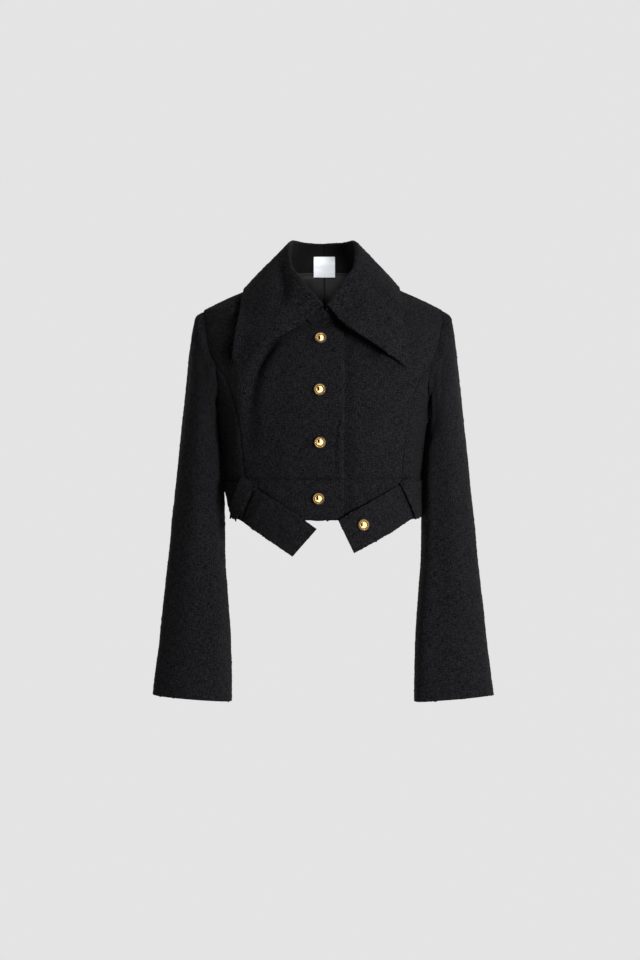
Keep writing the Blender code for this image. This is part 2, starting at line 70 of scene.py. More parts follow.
# A power of 2 is an ellipse, a higher one is squarer and a lower one comes to a ridge.
Section = namedtuple("Section", "height half_width front_depth front_power back_depth back_power shift")
BODY = [
    Section(0, 62, 20, 1.35, 56, 2.0, 0),
    Section(-20, 107.5, 42, 1.38, 66, 1.5, 0),
    Section(-34, 139, 54, 1.4, 74.5, 1.5, 0),
    Section(-42.5, 158, 60, 1.42, 79, 1.51, 0),
    Section(-52, 178, 63.5, 1.5, 81.5, 1.57, 0),
    Section(-63, 197, 67, 1.57, 84, 1.65, 0),
    Section(-72, 199.3, 70.5, 1.66, 87, 1.73, 0),
    Section(-86, 200.4, 78, 1.8, 92.5, 1.86, 0),
    Section(-100, 201, 92, 1.95, 97, 1.98, 0),
    Section(-120, 200, 103, 2.1, 103, 2.1, 0),
    Section(-140, 197, 112, 2.15, 106, 2.2, 0),
    Section(-160, 193, 117, 2.2, 108, 2.3, 0),
    Section(-190, 186, 122, 2.28, 107, 2.3, 0),
    Section(-215, 178, 123.3, 2.3, 105, 2.3, 0),
    Section(-240, 171.5, 121, 2.3, 100, 2.3, 0.5),
    Section(-270, 165.5, 114, 2.3, 95, 2.3, 1),
    Section(-300, 163, 106, 2.3, 90.5, 2.3, 0.5),
    Section(-337, 159, 98, 2.3, 86, 2.3, 0.5),
    Section(-372, 155.5, 100, 2.3, 89, 2.3, 2.5),
    Section(-404, 154.5, 103, 2.3, 92, 2.3, 5),
    Section(-470, 156, 107, 2.3, 96, 2.3, 5),
]
Seam = namedtuple("Seam", "height x")
ARMHOLE = [Seam(-63, 197), Seam(-76, 195.5), Seam(-97, 192.3), Seam(-114, 189), Seam(-132, 184.5),
           Seam(-150, 176), Seam(-168, 174), Seam(-184, 172), Seam(-198, 172.5), Seam(-209, 175),
           Seam(-215, 178)]
PRINCESS = [Seam(-150, 176), Seam(-168, 163.5), Seam(-184, 154.5), Seam(-215, 143.5), Seam(-245, 136.5),
            Seam(-271, 133), Seam(-313, 131), Seam(-338, 129)]
Fold = namedtuple("Fold", "height x depth")
CHEST_FOLD = [Fold(-98, -72, 0), Fold(-122, -86, 5), Fold(-147, -101, 8), Fold(-178, -111, 8.5),
              Fold(-210, -117, 7), Fold(-261, -119, 3.5), Fold(-300, -119, 0)]
CHEST_FOLD_WIDTH = 11


def smooth_step(low, high, low_slope, high_slope, step, part):
    """A smooth line's values at parts of the way along one step of it."""
    start = low * (1 + 2 * part) + low_slope * step * part
    finish = high * (3 - 2 * part) + high_slope * step * (part - 1)
    return start * (1 - part) ** 2 + finish * part ** 2


class Curve:
    """A smooth line through one column of a table, which never swings past its rows."""

    def __init__(self, table, key, column):
        rows = sorted((getattr(row, key), getattr(row, column)) for row in table)
        self.places, self.values = np.array(rows, float).T
        rises = np.diff(self.values) / np.diff(self.places)
        product = rises[:-1] * rises[1:]
        total = np.where(product > 0, rises[:-1] + rises[1:], 1)
        self.slopes = np.concatenate([rises[:1], np.where(product > 0, 2 * product / total, 0), rises[-1:]])

    def __call__(self, place):
        held = np.clip(place, self.places[0], self.places[-1])
        i = np.clip(np.searchsorted(self.places, held, "right") - 1, 0, len(self.places) - 2)
        step = self.places[i + 1] - self.places[i]
        part = (held - self.places[i]) / step
        ends = self.values[i], self.values[i + 1], self.slopes[i], self.slopes[i + 1]
        between = smooth_step(*ends, step, part)
        past = place - held
        return between + past * np.where(past < 0, self.slopes[0], self.slopes[-1])


Knot = namedtuple("Knot", "at value")


def through(values):
    """A smooth line through values that stand at 0, 1, 2 and so on."""
    return Curve([Knot(i, value) for i, value in enumerate(values)], "at", "value")


half_width, front_depth, front_power, back_depth, back_power, shift = (
    Curve(BODY, "height", column) for column in Section._fields[1:])
armhole_x = Curve(ARMHOLE, "height", "x")
princess_x = Curve(PRINCESS, "height", "x")
fold_x = Curve(CHEST_FOLD, "height", "x")
fold_depth = Curve(CHEST_FOLD, "height", "depth")


def eased(part):
    """0 to 1 with level ends."""
    part = np.clip(part, 0, 1)
    return part * part * (3 - 2 * part)


def unit(vectors):
    return vectors / np.linalg.norm(vectors, axis=-1, keepdims=True)


def section(turn, height):
    """Points on the outer face of the cloth."""
    turn, height = np.broadcast_arrays(np.radians(turn), np.asarray(height, float))
    across, ahead = np.sin(turn), np.cos(turn)
    in_front = ahead > 0
    depth = np.where(in_front, front_depth(height), back_depth(height))
    power = np.where(in_front, front_power(height), back_power(height))
    reach = (np.abs(across) ** power + np.abs(ahead) ** power) ** (-1 / power)
    x = shift(height) + half_width(height) * reach * across
    folded = in_front & (CHEST_FOLD[-1].height < height) & (height < CHEST_FOLD[0].height)
    fold = fold_depth(height) * np.exp(-((x - fold_x(height)) / CHEST_FOLD_WIDTH) ** 2)
    return np.stack([x, -depth * reach * ahead + np.where(folded, fold, 0), height], axis=-1)


def cloth(turn, height, lift=0.0):
    """The outer face moved out by lift, as points and their outward normals."""
    along = section(turn + 0.25, height) - section(turn - 0.25, height)
    upward = section(turn, height + 0.5) - section(turn, height - 0.5)
    normal = unit(np.cross(along, upward))
    return section(turn, height) + normal * np.asarray(lift)[..., None], normal


def halved(low, high, is_before):
    """Where a test along some ranges turns from true to false: both ends of what 40 halvings leave."""
    for _ in range(40):
        middle = (low + high) / 2
        before = is_before(middle)
        low, high = np.where(before, middle, low), np.where(before, high, middle)
    return low, high


def turn_at(x, height, back=False):
    """The turns where the sections have this x, on the front or on the back."""
    x, height = np.broadcast_arrays(np.asarray(x, float), np.asarray(height, float))
    low, _ = halved(np.full(x.shape, -90.0), np.full(x.shape, 90.0),
                    lambda turn: section(180 - turn if back else turn, height)[..., 0] < x)
    return 180 - low if back else low


def turn_of(points):
    """The turns of points near the cloth."""
    x, y, height = np.moveaxis(points, -1, 0)
    depth = np.where(y < 0, front_depth(height), back_depth(height))
    return np.degrees(np.arctan2((x - shift(height)) / half_width(height), -y / depth))


def beside(turn, height, distance):
    """The turns a short distance along the sections from others."""
    per_degree = np.linalg.norm(section(turn + 0.25, height) - section(turn - 0.25, height), axis=-1) / 0.5
    return turn + distance / per_degree


def neckline_turn(height):
    """The turns where the front neckline, an upright ellipse seen from above, crosses the sections."""
    def is_inside(turn):
        x, y, _ = np.moveaxis(section(turn, height), -1, 0)
        return (x / NECK_HALF_WIDTH) ** 2 + (y / NECK_FRONT_DEPTH) ** 2 < 1

    return halved(np.zeros(height.shape), np.full(height.shape, 90.0), is_inside)[1]


def underlap_lift(x, height):
    """How far the left front sinks where it passes under the right one."""
    return UNDERLAP_LIFT * eased((54 - x) / 18) * eased((-60 - height) / 24)


# The tweed
# Black wool boucle with a plain weave under it: warp and weft slubs of uneven length, small loops standing
# up from both, and flecks of charcoal. It is matt, and its nap catches a little light where it turns away.

class Shade:
    """A socket in a material's nodes, so that shader sums read as plain ones."""

    def __init__(self, tree, link=None):
        self.tree, self.link = tree, link

    def node(self, kind, inputs, output=0, **settings):
        """Add a node: its settings first, then its sockets' values or links."""
        made = self.tree.nodes.new(kind)
        for name, value in settings.items():
            setattr(made, name, value)
        for name, value in inputs.items():
            if isinstance(value, Shade):
                self.tree.links.new(value.link, made.inputs[name])
            else:
                made.inputs[name].default_value = value
        return Shade(self.tree, made.outputs[output])

    def sum(self, operation, first, second):
        return self.node("ShaderNodeMath", {0: first, 1: second}, operation=operation)

    def __add__(self, other):
        return self.sum("ADD", self, other)

    def __sub__(self, other):
        return self.sum("SUBTRACT", self, other)

    def __mul__(self, other):
        return self.sum("MULTIPLY", self, other)

    def __rsub__(self, other):
        return self.sum("SUBTRACT", other, self)

    def __abs__(self):
        return self.sum("ABSOLUTE", self, 0.0)

    __radd__, __rmul__ = __add__, __mul__

    def between(self, low, high):
        """0 below low, 1 above high and eased between."""
        return self.node("ShaderNodeMapRange", {0: self, 1: low, 2: high}, interpolation_type="SMOOTHSTEP")

    def mix(self, first, second):
        """The first colour where this is 0, the second where it is 1."""
        return self.node("ShaderNodeMix", {0: self, 6: first, 7: second}, output=2, data_type="RGBA")

    def noise(self, vector, size, detail=2.0, roughness=0.5):
        """Soft noise whose lumps are about size, (across, along), in the vector's own lengths."""
        stretched = self.node("ShaderNodeVectorMath", {0: vector, 1: (1 / size[0], 1 / size[1], 0)},
                              operation="MULTIPLY")
        return self.node("ShaderNodeTexNoise", {"Vector": stretched, "Scale": 1.0, "Detail": detail,
                                                "Roughness": roughness}, noise_dimensions="2D")


def new_material(name, roughness, sheen=0.0, specular=0.5, metallic=0.0):
    """A material with its constant values set, its shader, and the grain as a vector in millimetres."""
    material = bpy.data.materials.new(name)
    material.use_nodes = True
    tree = material.node_tree
    shader = tree.nodes["Principled BSDF"]
    shader.inputs["Roughness"].default_value = roughness
    shader.inputs["Sheen Weight"].default_value = sheen
    shader.inputs["Sheen Roughness"].default_value = 0.45
    shader.inputs["Specular IOR Level"].default_value = specular
    shader.inputs["Metallic"].default_value = metallic
    start = Shade(tree)
    grain = start.node("ShaderNodeUVMap", {}, uv_map="grain")
    grain = start.node("ShaderNodeVectorMath", {0: grain, 1: (1000, 1000, 0)}, operation="MULTIPLY")

    def paint(socket, value):
        tree.links.new(value.link, shader.inputs[socket])

    return material, start, grain, paint


def make_tweed():
    material, start, grain, paint = new_material("black boucle tweed", 0.9, sheen=0.015, specular=0.03)
    warp = start.noise(grain, (1.35, 10.0), detail=1.0).between(0.39, 0.61)
    weft = start.noise(grain, (10.0, 1.35), detail=1.0).between(0.39, 0.61)
    fuzz = start.noise(grain, (0.8, 0.8), detail=2.0, roughness=0.7)
    clouds = start.noise(grain, (34.0, 46.0), detail=1.0)
    flecks = start.noise(grain, (1.5, 1.9), detail=0.0).between(0.68, 0.81)
    shade = warp * 0.42 + weft * 0.38 + fuzz * 0.2 + clouds * 0.2
    dark, light = (0.0014, 0.0014, 0.0016, 1), (0.0215, 0.0212, 0.0238, 1)
    paint("Base Color", flecks.mix(shade.between(-0.15, 1.35).mix(dark, light), (0.036, 0.0353, 0.039, 1)))
    height = warp * 0.45 + weft * 0.45 + fuzz * 0.35
    paint("Normal", start.node("ShaderNodeBump", {"Strength": 0.7, "Distance": 0.9 * MM, "Height": height}))
    return material


def make_satin(name, pleat_shadow_width=0.0):
    """Lining cloth. A pleat's shadow is painted on it as a dark line, about that far to each side of where
    the piece's grain starts.
    """
    material, start, grain, paint = new_material(name, 0.42, sheen=0.05, specular=0.05)
    ribs = start.noise(grain, (0.5, 14.0))
    folds = start.noise(grain, (9.0, 60.0))
    across = start.node("ShaderNodeSeparateXYZ", {0: grain}, output="X")
    outside_pleat_shadow = abs(across).between(pleat_shadow_width * 0.6, pleat_shadow_width + 0.01)
    cloth_colour = (ribs * 0.5 + folds * 0.6).mix((0.026, 0.0247, 0.0246, 1), (0.041, 0.039, 0.0388, 1))
    # Painted shadow: near-black along the pleat's fold, the satin's own colour elsewhere
    paint("Base Color", outside_pleat_shadow.mix((0.003, 0.0027, 0.0026, 1), cloth_colour))
    paint("Roughness", 0.36 + ribs * 0.14)
    paint("Normal", start.node("ShaderNodeBump", {"Strength": 0.4, "Distance": 0.3 * MM,
                                                  "Height": ribs * 0.4 + folds * 2.0}))
    return material


tweed = make_tweed()
satin = make_satin("black satin")


# How a piece of cloth is made
# A piece has a face, a rolled edge all round and an inside. The face carries the nap, the inside is plain
# lining that needs far fewer points, and the edge rolls over as a turned and pressed one does.

ROLL_STEPS = 4
INSIDE_STRIDE = 2


def add(name, data):
    """A new object in the scene."""
    made = bpy.data.objects.new(name, data)
    bpy.context.scene.collection.objects.link(made)
    return made


def blurred(shape, down, across, seed):
    """Noise blurred by that many rows and columns, with a spread of 1."""
    waves = np.fft.rfft2(np.random.default_rng(seed).standard_normal(shape))
    rows, columns = np.fft.fftfreq(shape[0])[:, None], np.fft.rfftfreq(shape[1])[None]
    waves *= np.exp(-2 * (np.pi * rows * down) ** 2 - 2 * (np.pi * columns * across) ** 2)
    field = np.fft.irfft2(waves, shape)
    return (field - field.mean()) / field.std()


def nap(shape, seed):
    """Slubs along both ways of the weave, loops that stand up, and a slow unevenness."""
    slubs = blurred(shape, 3.4, 0.45, seed) + blurred(shape, 0.45, 3.2, seed + 1)
    loops = np.maximum(blurred(shape, 0.6, 0.6, seed + 2) - 1.0, 0)
    return 0.12 * slubs + 0.36 * loops + 0.16 * blurred(shape, 7, 6, seed + 3) - 0.12


def lengths(points, axis):
    """How far each point of a grid lies along its row (axis 1) or its column (axis 0)."""
    steps = np.linalg.norm(np.diff(points, axis=axis), axis=-1)
    return np.insert(np.cumsum(steps, axis=axis), 0, 0, axis=axis)


def grain_of(face, start_column=0, reference_column=None):
    """The cloth's own grid: across from a column's line, and up along the middle column."""
    across = lengths(face, 1)
    across -= across[:, start_column:start_column + 1]
    middle = face.shape[1] // 2 if reference_column is None else reference_column
    up = np.repeat(lengths(face, 0)[:, middle:middle + 1], face.shape[1], axis=1)
    return np.stack([across, up], axis=-1) * MM


def grid_normals(face, closed=False):
    if closed:
        along = np.roll(face, -1, axis=1) - np.roll(face, 1, axis=1)
    else:
        along = np.gradient(face, axis=1)
    return unit(np.cross(along, np.gradient(face, axis=0)))


def inside_faces(index, present, closed, row_stops, column_stops):
    """The inside's faces, with every point along the border and one in several elsewhere."""
    rows, columns = index.shape
    row_cuts = sorted({*range(0, rows, INSIDE_STRIDE), rows - 1, *row_stops})
    column_cuts = sorted({*range(0, columns, INSIDE_STRIDE), columns - 1, *column_stops})
    faces = []
    for r0, r1 in zip(row_cuts, row_cuts[1:]):
        for c0, c1 in zip(column_cuts, column_cuts[1:]):
            if not present[r0, c0]:
                continue
            low = c0 == 0 and not closed or c0 > 0 and not present[r0, c0 - 1]
            high = c1 == columns - 1 and not closed or c1 < columns - 1 and not present[r0, c1]
            bottom = r0 == 0 or not present[r0 - 1, c0]
            top = r1 == rows - 1 or not present[r1, c0]
            outline = [*index[r0, c0:c1:1 if bottom else c1 - c0], *index[r0:r1:1 if high else r1 - r0, c1],
                       *index[r1, c1:c0:-1 if top else c0 - c1]]
            left_side = index[r1:r0:-1, c0] if low else index[r1:r1 + 1, c0]
            faces.append([*outline, *left_side][::-1])
    return faces


def shell(name, face, normal, grain, thickness, materials, seed=None, present=None, closed=False,
          stops=((), ()), facing=None):
    """A wall of cloth with rolled edges. facing marks the points whose inside is tweed and not lining."""
    rows, columns = face.shape[:2]
    rise = np.zeros((rows, columns)) if seed is None else nap((rows, columns), seed)
    index = np.arange(rows * columns).reshape(rows, columns)
    if closed:
        index = np.concatenate([index, index[:, :1]], axis=1)
    if present is None:
        present = np.ones((rows - 1, index.shape[1] - 1), bool)
    quads = np.stack([index[:-1, :-1], index[:-1, 1:], index[1:, 1:], index[1:, :-1]], axis=-1)[present]
    points, normals, rise = face.reshape(-1, 3), normal.reshape(-1, 3), rise.reshape(-1, 1)
    count = len(points)

    # The border, as edges that only one face has, and the way out of the cloth at each of its points
    starts, ends = quads.ravel(), np.roll(quads, -1, axis=1).ravel()
    border = ~np.isin(starts * count + ends, ends * count + starts)
    starts, ends = starts[border], ends[border]
    outward = np.zeros_like(points)
    for one in (starts, ends):
        away = np.cross(unit(points[ends] - points[starts]), normals[one])
        np.add.at(outward, one, away)
    rim = np.unique(starts)
    outward = unit(outward[rim])
    radius = thickness / 2
    points = points + normals * rise
    points[rim] += outward * (np.maximum(2.6 * rise[rim], 0) - radius)
    place_in_rim = np.full(count, -1)
    place_in_rim[rim] = np.arange(len(rim))

    rings = []
    centres = points[rim] - normals[rim] * radius
    for step in range(1, ROLL_STEPS):
        angle = np.pi * step / ROLL_STEPS
        rings.append(centres + (normals[rim] * np.cos(angle) + outward * np.sin(angle)) * radius)
    inner = points - normals * thickness
    places = np.concatenate([points, *rings, inner])
    levels = [lambda i: i]
    for step in range(ROLL_STEPS - 1):
        levels.append(lambda i, base=count + step * len(rim): base + place_in_rim[i])
    inner_base = count + (ROLL_STEPS - 1) * len(rim)
    levels.append(lambda i: inner_base + i)
    edge_quads = [np.stack([low(ends), low(starts), high(starts), high(ends)], axis=-1)
                  for low, high in zip(levels, levels[1:])]
    inside = inside_faces(index + inner_base, present, closed, *stops)

    faces = [*quads.tolist(), *np.concatenate(edge_quads).tolist(), *inside]
    used = np.zeros(len(places), bool)
    flat = np.concatenate([np.asarray(each) for each in faces])
    used[flat] = True
    renumbered = np.cumsum(used) - 1
    sizes = np.array([len(each) for each in faces])
    flat = renumbered[flat]
    mesh = bpy.data.meshes.new(name)
    mesh.vertices.add(int(used.sum()))
    mesh.vertices.foreach_set("co", (places[used] * MM).astype(np.float32).ravel())
    mesh.loops.add(len(flat))
    mesh.loops.foreach_set("vertex_index", flat.astype(np.int32))
    mesh.polygons.add(len(faces))
    mesh.polygons.foreach_set("loop_start", (np.cumsum(sizes) - sizes).astype(np.int32))
    mesh.polygons.foreach_set("loop_total", sizes.astype(np.int32))

    slots = np.zeros(len(faces), np.int32)
    if len(materials) > 1:
        lined = np.ones(count, bool) if facing is None else ~facing.ravel()
        slots[-len(inside):] = [lined[each[0] - inner_base] for each in inside]
    mesh.polygons.foreach_set("material_index", slots)
    mesh.update(calc_edges=True)

    flat_grain = grain.reshape(-1, 2)[:count] if not closed else grain[:, :-1].reshape(-1, 2)
    every = np.concatenate([flat_grain, *[flat_grain[rim]] * (ROLL_STEPS - 1), flat_grain])[used]
    loops = every[flat]
    if closed:  # the last column's faces meet the first column's points a whole turn on
        corners = np.stack([grain[:-1, :-1], grain[:-1, 1:], grain[1:, 1:], grain[1:, :-1]], axis=2)
        loops[:quads.size] = corners[present].reshape(-1, 2)
    mesh.uv_layers.new(name="grain").data.foreach_set("uv", loops.astype(np.float32).ravel())
    for material in materials:
        mesh.materials.append(material)
    mesh.shade_smooth()
    return add(name, mesh)


def sewn(piece, node):
    """Hang a piece of cloth on the root, and hide the imported solid that it stands for."""
    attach(piece, "root")
    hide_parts(node)


# Folds are soft troughs and ridges along given lines. Their path is (x, height) on the front or the back,
# rise is negative inwards, and taper is the part that fades at an end.
Crease = namedtuple("Crease", "path rise width back taper", defaults=[False, 0.3])


def smooth_line(path, steps=14):
    """A path's points with more between them."""
    at = np.linspace(0, len(path) - 1, steps)
    return np.stack([through(values)(at) for values in zip(*path)], axis=-1)


def rise_along(points, line, rise, width, taper=0.3):
    """How far one fold lifts points that lie near its line, which fades out at both ends."""
    reach = 3 * width
    around = ((line.min(axis=0) - reach < points) & (points < line.max(axis=0) + reach)).all(axis=-1)
    close = points[around]
    nearest = np.full(len(close), np.inf)
    part = np.zeros(len(close))
    for i, (a, b) in enumerate(zip(line, line[1:])):
        edge = b - a
        along = np.clip(((close - a) @ edge) / (edge @ edge), 0, 1)
        distance = np.linalg.norm(close - a - along[:, None] * edge, axis=-1)
        part = np.where(distance < nearest, (i + along) / (len(line) - 1), part)
        nearest = np.minimum(distance, nearest)
    total = np.zeros(points.shape[:-1])
    total[around] = rise * eased(np.minimum(part, 1 - part) / taper) * np.exp(-(nearest / width) ** 2)
    return total


def body_rise(points, creases):
    total = np.zeros(points.shape[:-1])
    for crease in creases:
        x, height = smooth_line(crease.path).T
        line = section(turn_at(x, height, crease.back), height)
        total += rise_along(points, line, crease.rise, crease.width, crease.taper)
    return total


def rows_between(*stops):
    """Heights from stop to stop. A stop is (height, the step up to the next one)."""
    heights = []
    for (low, step), (high, _) in zip(stops, stops[1:]):
        heights += list(np.linspace(low, high, max(round((high - low) / step), 1), endpoint=False))
    return np.array([*heights, stops[-1][0]])


BODY_ROWS = rows_between((WAIST + SEAM / 2, 2.1), (UNDERARM, 2.1), (PRINCESS_TOP, 2.1), (NECK_FRONT, 1.5),
                         (SHOULDER_TIP, 0.95), (0, 0))


def turns_between(begin, end, parts):
    """A grid of turns, at parts of the way from one line to another."""
    return begin[:, None] + (end - begin)[:, None] * parts


def as_wide(heights, turns):
    """A grid of heights with as many columns as the turns have."""
    return np.repeat(heights[:, None], turns.shape[1], axis=1)


def body_panel(name, turns, heights, creases, seed, materials, lift=0.0, **how):
    """A panel cut from the body's form, with its folds and its nap."""
    face, normal = cloth(turns, heights, lift)
    face = face + normal * body_rise(face, creases)[..., None]
    return shell(name, face, normal, how.pop("grain", grain_of(face)), WALL, materials, seed, **how)


# Fronts
# Each front is a centre panel and a side panel, joined by a seam that curves from the armhole to the waist.
# The right centre panel laps over the left one and buttons to it, and its turned edge is pressed into a
# soft roll.

LAP_CORNER = 7
# Below the armholes the sides swell out until they nearly touch the sleeves
SIDE_SWELL = [
    Crease(((-175, -222), (-168, -246), (-164, -268), (-162, -300), (-160, -335), (-158, -372), (-158, -392)),
           2.6, 12, taper=0.1),
    Crease(((175, -222), (168, -246), (165, -268), (163, -300), (161, -335), (160, -372), (160, -404)),
           2.6, 12, taper=0.1),
    Crease(((-175, -226), (-169, -246), (-165, -268), (-162, -292)), 1.9, 10),
    Crease(((-163, -302), (-159.5, -335), (-157, -372)), 2.4, 12),
    Crease(((164, -302), (160.5, -335), (158, -372)), 1.6, 12),
]
WAIST_SEAM = ((-154, WAIST), (-100, WAIST), (-40, WAIST), (20, WAIST), (90, WAIST), (154, WAIST))
FRONT_CREASES = [
    # The seams draw the cloth in
    Crease(WAIST_SEAM, -2.9, 2.3, taper=0.05),
    *[Crease([(side * seam.x, seam.height) for seam in PRINCESS], -1.3, 2.6, taper=0.05) for side in (-1, 1)],
    # The long ridge from under the right wing to the waist, outside the deep fold
    Crease(((-138, -60), (-140, -110), (-137, -170), (-133, -230), (-136, -290), (-137, -325)), 3.0, 11),
    Crease(((-90, -150), (-97, -200), (-99, -250), (-98, -300)), 1.4, 9),
    # The fronts sink behind the wings where they meet
    Crease(((-44, -60), (-20, -74), (4, -78), (26, -71)), -10.0, 14),
    Crease(((14, -80), (30, -90), (50, -107), (74, -124), (98, -138)), -8.0, 11, taper=0.2),
    # The head of the deep fold, beside the wing
    Crease(((-76, -102), (-84, -118), (-95, -136), (-106, -160), (-111, -182)), -4.5, 9),
    # The chest sinks along the right wing's outer edge
    Crease(((-136, -36), (-141, -66), (-146, -100), (-150, -128), (-152, -150)), -7.0, 4, taper=0.15),
    # The short crease beside the top button and the pull of the buttons
    Crease(((-22, -82), (-21, -105), (-23, -132)), -1.2, 4),
    Crease(((-16, -106), (-32, -112), (-50, -122)), -0.5, 6),
    Crease(((-14, -190), (-36, -193), (-62, -201)), -0.6, 7),
    Crease(((-14, -277), (-38, -281), (-66, -277)), -0.6, 8),
    Crease(((10, -188), (24, -186), (32, -183)), -0.4, 5),
    # The roll of the lap's turned edge, which widens towards the waist
    Crease(((31.5, -190), (28, -232), (21, -258), (19.6, -300), (19.3, -338), (19.0, -372)), -1.9, 2.2),
    Crease(((33, -170), (31, -240), (28.5, -270), (28, -300), (28, -345), (28, -380)), 1.4, 4),
    Crease(((34, -84), (34, -140), (34, -260), (34, -340), (34, -410)), -1.9, 4),
    *SIDE_SWELL,
    # The wearer's left chest and waist
    Crease(((58, -115), (62, -160), (60, -215), (52, -262)), -1.3, 14),
    Crease(((96, -150), (92, -200), (84, -252), (80, -300)), 1.5, 16),
    Crease(((118, -190), (112, -240), (110, -300)), -1.2, 9),
    Crease(((150, -92), (146, -128), (150, -160)), -1.6, 10),
    Crease(((-155, -110), (-160, -150), (-152, -190)), -1.5, 9),
    Crease(((40, -300), (70, -318), (98, -332)), 0.9, 10),
    Crease(((-40, -305), (-66, -320), (-92, -331)), 0.8, 9),
    # Along the seams, and down the side panels from the underarm
    Crease(((149, -220), (142, -260), (140, -320)), 1.3, 6),
    Crease(((-149, -222), (-143, -262), (-141, -318)), 1.4, 6),
    Crease(((162, -226), (155, -262), (152, -300)), -1.2, 6),
    Crease(((-163, -228), (-156, -258), (-154, -306)), -1.3, 6),
]


def lap_reach(heights, past_centre):
    """How far a lap passes the centre, with its top corner rounded off."""
    above = np.clip((heights - (NECK_FRONT - LAP_CORNER)) / LAP_CORNER, 0, 1)
    return past_centre - LAP_CORNER * (1 - np.sqrt(1 - above ** 2))


def make_centre_front(name, side, past_centre, lap_columns, main_columns, seed):
    heights = BODY_ROWS
    centre = np.where(heights > NECK_FRONT, side * neckline_turn(heights), turn_at(0, heights))
    seam_x = np.where(heights >= PRINCESS_TOP, armhole_x(heights), princess_x(heights))
    outer = np.where(heights >= SHOULDER_TIP, side * 90.0, turn_at(side * seam_x, heights))
    outer = beside(outer, heights, -side * SEAM / 2)
    reach = np.where(heights > NECK_FRONT, 0, lap_reach(heights, past_centre))
    lap = turn_at(-side * reach, heights)
    turns = np.concatenate([turns_between(centre, lap, np.linspace(1, 0, lap_columns + 1)),
                            turns_between(centre, outer, np.linspace(0, 1, main_columns + 1)[1:])], axis=1)
    present = np.ones((len(heights) - 1, lap_columns + main_columns), bool)
    neck_row = int(np.argmin(np.abs(heights - NECK_FRONT)))
    present[neck_row:, :lap_columns] = False
    column_stop = lap_columns
    if side < 0:  # columns run with the turn
        turns, present = turns[:, ::-1], present[:, ::-1]
        column_stop = main_columns
    tall = as_wide(heights, turns)
    x = section(turns, tall)[..., 0]
    lift = underlap_lift(x, tall) if side > 0 else 0.0
    face, _ = cloth(turns, tall)
    piece = body_panel(name, turns, tall, FRONT_CREASES, seed, (tweed, satin), lift, present=present,
                       stops=((neck_row,), (column_stop,)), facing=np.abs(x) < 62,
                       grain=grain_of(face, column_stop, column_stop))
    sewn(piece, name)


def make_side_front(name, side, seed):
    top = PRINCESS_TOP - 3
    heights = rows_between((WAIST + SEAM / 2, 2.1), (UNDERARM, 2.1), (top, 0))
    begin = turn_at(side * princess_x(heights), heights)
    end = np.where(heights > UNDERARM, turn_at(side * armhole_x(heights), heights), side * 90.0)
    begin, end = beside(begin, heights, side * SEAM / 2), beside(end, heights, -side * SEAM / 2)
    first, last = (begin, end) if side > 0 else (end, begin)
    turns = turns_between(first, last, np.linspace(0, 1, 25))
    tall = as_wide(heights, turns)
    piece = body_panel(name, turns, tall, FRONT_CREASES, seed, (tweed, satin))
    sewn(piece, name)


make_centre_front("front_right", -1, LAP, 16, 82, 10)
make_centre_front("front_left", 1, UNDERLAP, 18, 78, 20)
make_side_front("side_front_right", -1, 30)
make_side_front("side_front_left", 1, 40)


# Back
# One wide panel from side seam to side seam, up round the armholes to the shoulder seams. It hangs a little
# fuller than the fronts and breaks into a few long soft folds over the shoulder blades.

BACK_CREASES = [
    *SIDE_SWELL,
    Crease(WAIST_SEAM, -1.3, 2.6, True, 0.05),
    Crease(((-118, -100), (-112, -160), (-116, -230), (-120, -300)), -2.2, 11, True),
    Crease(((-96, -130), (-88, -200), (-92, -270)), 1.6, 12, True),
    Crease(((112, -92), (108, -150), (110, -215), (117, -290)), -2.4, 12, True),
    Crease(((90, -150), (84, -220), (88, -300)), 1.5, 13, True),
    Crease(((-22, -40), (-26, -110), (-20, -190)), -1.0, 13, True),
    Crease(((24, -60), (30, -140), (24, -240)), -0.9, 14, True),
    Crease(((-160, -130), (-150, -170), (-138, -215)), -1.6, 9, True),
    Crease(((161, -125), (152, -172), (141, -228)), -1.8, 9, True),
    Crease(((-60, -300), (-20, -316), (34, -308)), 1.0, 11, True),
    Crease(((-110, -318), (-70, -326), (-30, -331)), -0.8, 8, True),
    Crease(((50, -322), (84, -328), (118, -324)), -0.9, 8, True),
    Crease(((-90, -28), (-64, -44), (-30, -52)), -0.9, 8, True),
    Crease(((88, -30), (60, -46), (26, -50)), -0.8, 8, True),
]


def back_edges(heights, inset):
    """The turns of the back's two edges, up the side seams and round the armholes, moved in."""
    curved = (UNDERARM < heights) & (heights < SHOULDER_TIP)
    begin = np.where(curved, turn_at(armhole_x(heights), heights, back=True), 90.0)
    end = np.where(curved, turn_at(-armhole_x(heights), heights, back=True), 270.0)
    return beside(begin, heights, inset), beside(end, heights, -inset)


def make_back():
    heights = BODY_ROWS
    turns = turns_between(*back_edges(heights, SEAM / 2), np.linspace(0, 1, 181))
    tall = as_wide(heights, turns)
    face, _ = cloth(turns, tall)
    piece = body_panel("back", turns, tall, BACK_CREASES, 50, (tweed, satin), grain=grain_of(face, 90, 90))
    sewn(piece, "back")


make_back()


# Waistband
# A straight band sewn on at the waist seam, which gives the jacket its hem. It buttons with the fronts, and
# the belt lies over it.

